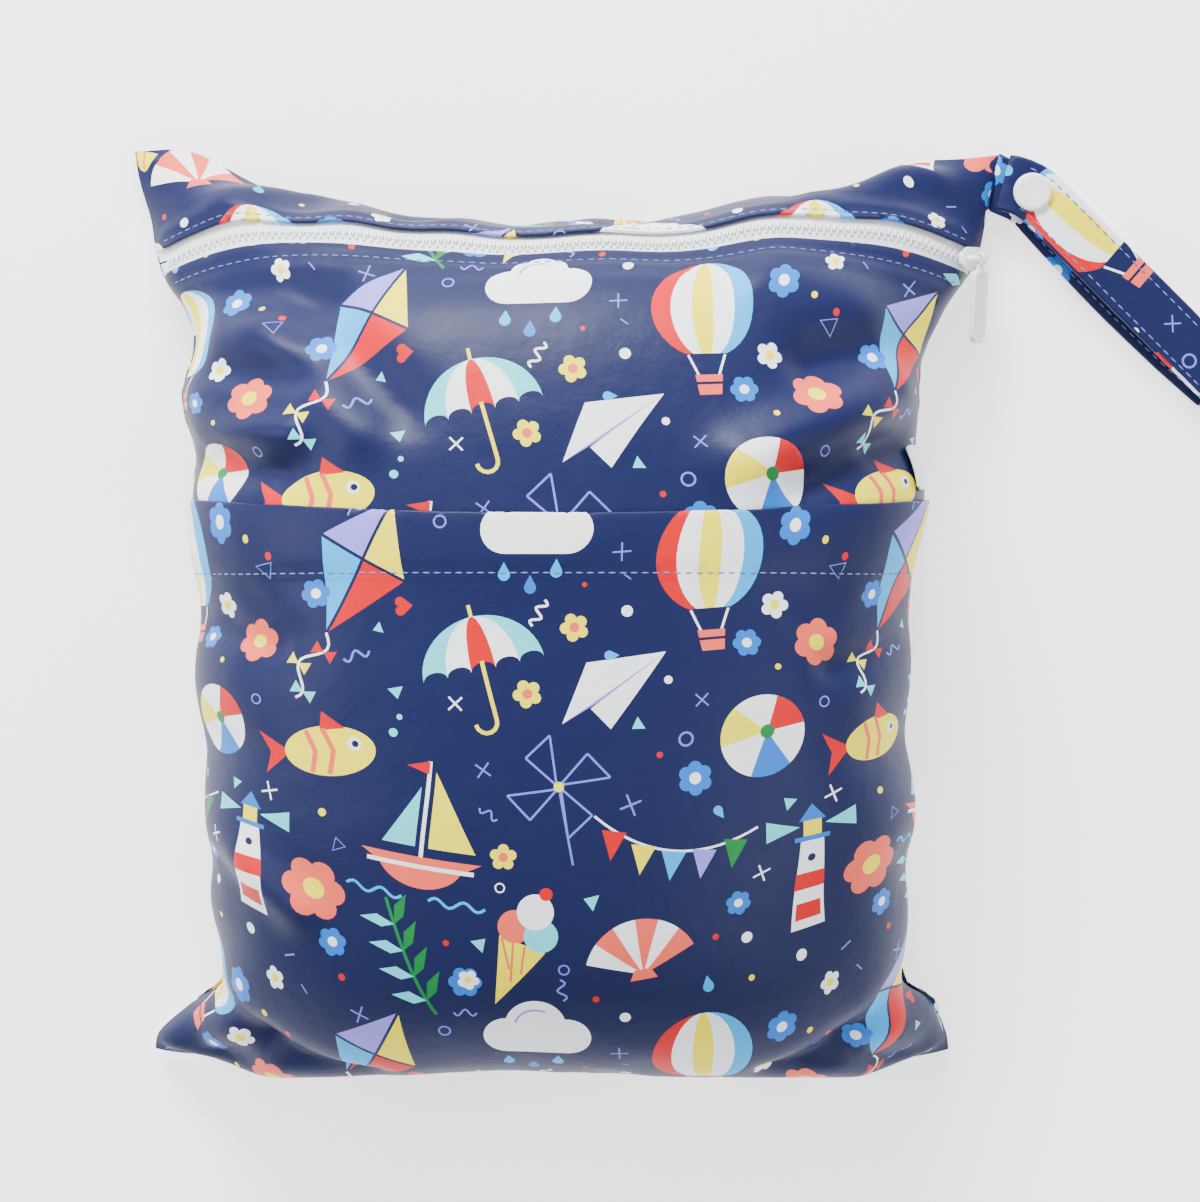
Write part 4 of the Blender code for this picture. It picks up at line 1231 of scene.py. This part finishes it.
def strap_heights(distance):
    """Heights of the middle of the lower and of the upper layer."""
    past_snap = distance - SNAP_REACH - SNAP_CAP / 2
    eased = min(max(past_snap / (STRAP_REACH * 0.4), 0), 1)
    spread = 0.5 - 0.5 * math.cos(math.pi * eased)
    lower = ROOT.z + (STRAP / 2 - ROOT.z) * spread
    snapped = STRAP + SNAP_HEIGHT + 2 * LAYER_GAP
    return lower, lower + snapped + (STRAP_OPEN + STRAP - snapped) * spread


def strap_line():
    """Points, sideways and outward directions along the strap, out below and back above."""
    low_end, high_end = strap_heights(STRAP_REACH)
    radius = (high_end - low_end) / 2
    straight = STRAP_REACH - radius
    steps = 70
    path = [(straight * i / steps, 0) for i in range(steps + 1)]
    path += [(straight + radius * math.sin(math.pi * i / 16), i / 16) for i in range(1, 16)]
    path += [(straight + (STRAP_END - straight) * i / steps, 1) for i in range(steps + 1)]
    points, sides = [], []
    for distance, share in path:
        lower, upper = strap_heights(min(distance, straight))
        height = lower + (upper - lower) * (1 - math.cos(math.pi * share)) / 2
        middle, heading = strap_plan(distance)
        square = Vector((-math.sin(heading), math.cos(heading), 0))
        side = SEAM.lerp(square, min(distance / STRAP_BEND_START, 1)).normalized()
        reached = min(distance / STRAP_REACH, 1)
        peek = -STRAP_SKEW * (1 - share) * math.sin(math.pi * reached) ** 0.5
        points.append(middle + side * peek + Vector((0, 0, height)))
        sides.append(side)
    points, sides = np.array(points), np.array(sides)
    ahead = np.gradient(points, axis=0)
    ahead /= np.linalg.norm(ahead, axis=1, keepdims=True)
    outs = np.cross(sides, ahead)
    outs /= np.linalg.norm(outs, axis=1, keepdims=True)
    walked = np.concatenate(([0], np.cumsum(np.linalg.norm(np.diff(points, axis=0),
                                                            axis=1))))
    return walked, points, sides, outs


def strap_outline(q):
    """Sideways and outward place of a distance round the strap's section."""
    radius = STRAP / 2
    flat = STRAP_WIDTH - 2 * radius
    turn = math.pi * radius
    lengths = np.cumsum([flat, turn, flat, turn])
    q = np.mod(q, lengths[-1])
    x = np.select(
        [q < lengths[0], q < lengths[1], q < lengths[2]],
        [q - flat / 2, flat / 2 + radius * np.sin((q - lengths[0]) / radius),
         flat / 2 - (q - lengths[1])],
        -flat / 2 - radius * np.sin((q - lengths[2]) / radius))
    y = np.select(
        [q < lengths[0], q < lengths[1], q < lengths[2]],
        [radius * np.ones_like(q), radius * np.cos((q - lengths[0]) / radius),
         -radius * np.ones_like(q)], -radius * np.cos((q - lengths[2]) / radius))
    return x, y, lengths


def make_strap():
    """The folded carrying strap as one tube of printed cloth with stitched edges."""
    walked, points, sides, outs = strap_line()
    total = walked[-1]
    lengths = strap_outline(np.zeros(1))[2]
    round_edges = [*np.linspace(lengths[0], lengths[1], 7),
                   *np.linspace(lengths[2], lengths[3], 7)[:-1]]
    mesh, q, p = printed_mesh("strap_cloth", (0.0, lengths[-1]), (0.0, total), STRAP_PRINT,
                              extra_s=round_edges)
    along = np.clip(p, 0, total)

    def at(values):
        return np.stack([np.interp(along, walked, values[:, axis]) for axis in range(3)],
                        -1)

    across, up, _ = strap_outline(np.clip(q, 0, lengths[-1] - 1e-7))
    edge_dip = 0.00028 * (np.exp(-((np.abs(across) - STRAP_WIDTH / 2 + STRAP_STITCH)
                                   / 0.0011) ** 2))
    up = up - np.sign(up) * edge_dip * (np.abs(up) > STRAP / 2 - 1e-5)
    ends = np.minimum(along, total - along)
    pinch = np.sqrt(np.clip(ends / (STRAP / 2), 0, 1) * (2 - np.clip(
        ends / (STRAP / 2), 0, 1)))
    place_points(mesh, at(points) + at(sides) * across[:, None]
                 + at(outs) * (up * pinch)[:, None])
    obj = finish_piece(mesh, "strap_cloth", KNIT, "strap")
    lines = []
    for sign in (-1, 1):
        for face in (-1, 1):
            offset = sign * (STRAP_WIDTH / 2 - STRAP_STITCH)
            lift = face * (STRAP / 2 - 0.0001)
            inner = slice(2, -2)
            lines.append(((points + sides * offset + outs * lift)[inner],
                          (outs * face)[inner]))
    stitches("strap_stitches", lines)


def spun(profile, steps):
    """A solid of revolution round Z from its profile of radii and heights."""
    mesh = bmesh.new()
    verts = [mesh.verts.new((radius, 0, height)) for radius, height in profile]
    edges = [mesh.edges.new(pair) for pair in zip(verts, verts[1:])]
    bmesh.ops.spin(mesh, geom=verts + edges, axis=(0, 0, 1), cent=(0, 0, 0),
                   angle=math.tau, steps=steps, use_merge=True)
    bmesh.ops.remove_doubles(mesh, verts=mesh.verts, dist=1e-6)
    bmesh.ops.recalc_face_normals(mesh, faces=mesh.faces)
    return mesh


def make_snap():
    """The snap's domed cap on the strap and the socket that joins the layers."""
    middle, _ = strap_plan(SNAP_REACH)
    lower, upper = strap_heights(SNAP_REACH)
    radius, height = SNAP_CAP / 2, 0.0020
    profile = [(0, height * 0.86), (radius * 0.45, height * 0.92),
               (radius * 0.72, height), (radius * 0.86, height * 0.97),
               (radius * 0.95, height * 0.80), (radius, height * 0.50),
               (radius * 0.99, height * 0.22), (radius * 0.90, 0), (0, 0)]
    mesh = spun(profile, 48)
    bmesh.ops.translate(mesh, verts=mesh.verts,
                        vec=middle + Vector((0, 0, upper + STRAP / 2)))
    finish_piece(to_mesh(mesh, "snap_cap_dome", 60), "snap_cap_dome", SNAP_PLASTIC,
                 "snap_cap", smooth=False)
    low, high = lower + STRAP / 2, upper - STRAP / 2
    profile = [(0, low), (0.0052, low), (0.0052, low + 0.0006), (0.0040, low + 0.0008),
               (0.0036, (low + high) / 2), (0.0040, high - 0.0008), (0.0052, high - 0.0006),
               (0.0052, high), (0, high)]
    mesh = spun(profile, 40)
    bmesh.ops.translate(mesh, verts=mesh.verts, vec=middle)
    finish_piece(to_mesh(mesh, "snap_socket_ring", 40), "snap_socket_ring", SNAP_PLASTIC,
                 "snap_socket", smooth=False)


def make_tag():
    """A folded ribbon from the side seam, lying on the front above the pocket."""
    low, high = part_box("side_tag")
    edge = FRONT[1:-1, -2]
    t = np.interp([low.y + 0.001, high.y - 0.001], edge[:, 1],
                  np.linspace(0, FRONT_CLOTH, ROWS))
    reach, layers = 0.0215, 0.0007
    columns, rows = 34, 14

    def place(column, row):
        share = column / (columns - 1)
        out_to = min(share * 2, 2 - share * 2)
        s = HALF_FLAT - 0.0002 - reach * out_to
        lift = 0.0005 + (layers if share > 0.5 else 0.0) + 0.0008 * out_to
        narrowing = 1 - 0.22 * max(out_to - 0.8, 0) ** 2 / 0.04
        place_in = 0.5 + (row / (rows - 1) - 0.5) * narrowing
        here = t[0] + (t[1] - t[0]) * place_in
        return Vector(lay(FRONT, [s], [here], lift)[0][0])

    obj = finish_piece(to_mesh(grid_mesh(columns, rows, place), "side_tag_ribbon"),
                       "side_tag_ribbon", RIBBON, "side_tag")


# Floor, light and camera

CAMERA_MIDDLE = Vector((0.0145, 0.0131, 0.0))
CAMERA_HEIGHT = 3.0
VIEW_WIDTH, VIEW_DISTANCE = 0.4044, 2.98


def aim(obj, target):
    obj.rotation_euler = (Vector(target) - obj.location).to_track_quat(
        "-Z", "Y").to_euler()


def area_light(name, place, target, size, power, color="#ffffff"):
    data = bpy.data.lights.new(name, "AREA")
    data.shape, data.size, data.size_y = "RECTANGLE", size[0], size[1]
    data.energy, data.color = power, linear(color)[:3]
    light = bpy.data.objects.new(name, data)
    bpy.context.scene.collection.objects.link(light)
    light.location = place
    aim(light, target)


def make_studio():
    """A white table that glows a little, soft lights and a camera straight above."""
    mesh = bmesh.new()
    bmesh.ops.create_grid(mesh, x_segments=1, y_segments=1, size=3.0)
    floor = bpy.data.objects.new("floor", to_mesh(mesh, "floor"))
    bpy.context.scene.collection.objects.link(floor)
    floor.data.materials.append(new_material(
        "lit_white_table", Base_Color=linear("#fbfbfb"), Roughness=0.9,
        Emission_Color=linear("#ffffff"), Emission_Strength=1.3)[0])
    floor.location.z = -0.0002
    world = bpy.data.worlds.new("studio")
    bpy.context.scene.world = world
    world.use_nodes = True
    background = world.node_tree.nodes["Background"]
    background.inputs["Color"].default_value = linear("#f4f6fa")
    background.inputs["Strength"].default_value = 0.9
    area_light("key", (-0.30, 1.30, 0.85), (0, 0.02, 0.05), (1.0, 0.5), 64)
    area_light("fill", (1.0, -0.4, 1.1), (0, 0, 0.03), (0.7, 0.7), 7)
    area_light("left_fill", (-1.1, 0.1, 0.8), (0, 0, 0.03), (0.6, 0.6), 8)
    camera = bpy.data.cameras.new("camera")
    camera.sensor_width, camera.sensor_fit = 36, "HORIZONTAL"
    camera.lens = 36 * VIEW_DISTANCE / VIEW_WIDTH
    seen = bpy.data.objects.new("camera", camera)
    bpy.context.scene.collection.objects.link(seen)
    seen.location = CAMERA_MIDDLE + Vector((0, 0, CAMERA_HEIGHT))
    bpy.context.scene.camera = seen


make_cloth()
make_stitches()
zip_tape("zip_tape_below", "zip_tape_lower", ZIP - TAPE_WIDTH / 2, ZIP - 0.0003)
zip_tape("zip_tape_above", "zip_tape_upper", ZIP + 0.0003, ZIP + TAPE_WIDTH / 2)
make_coil()
make_slider()
make_strap()
make_snap()
make_tag()
make_studio()
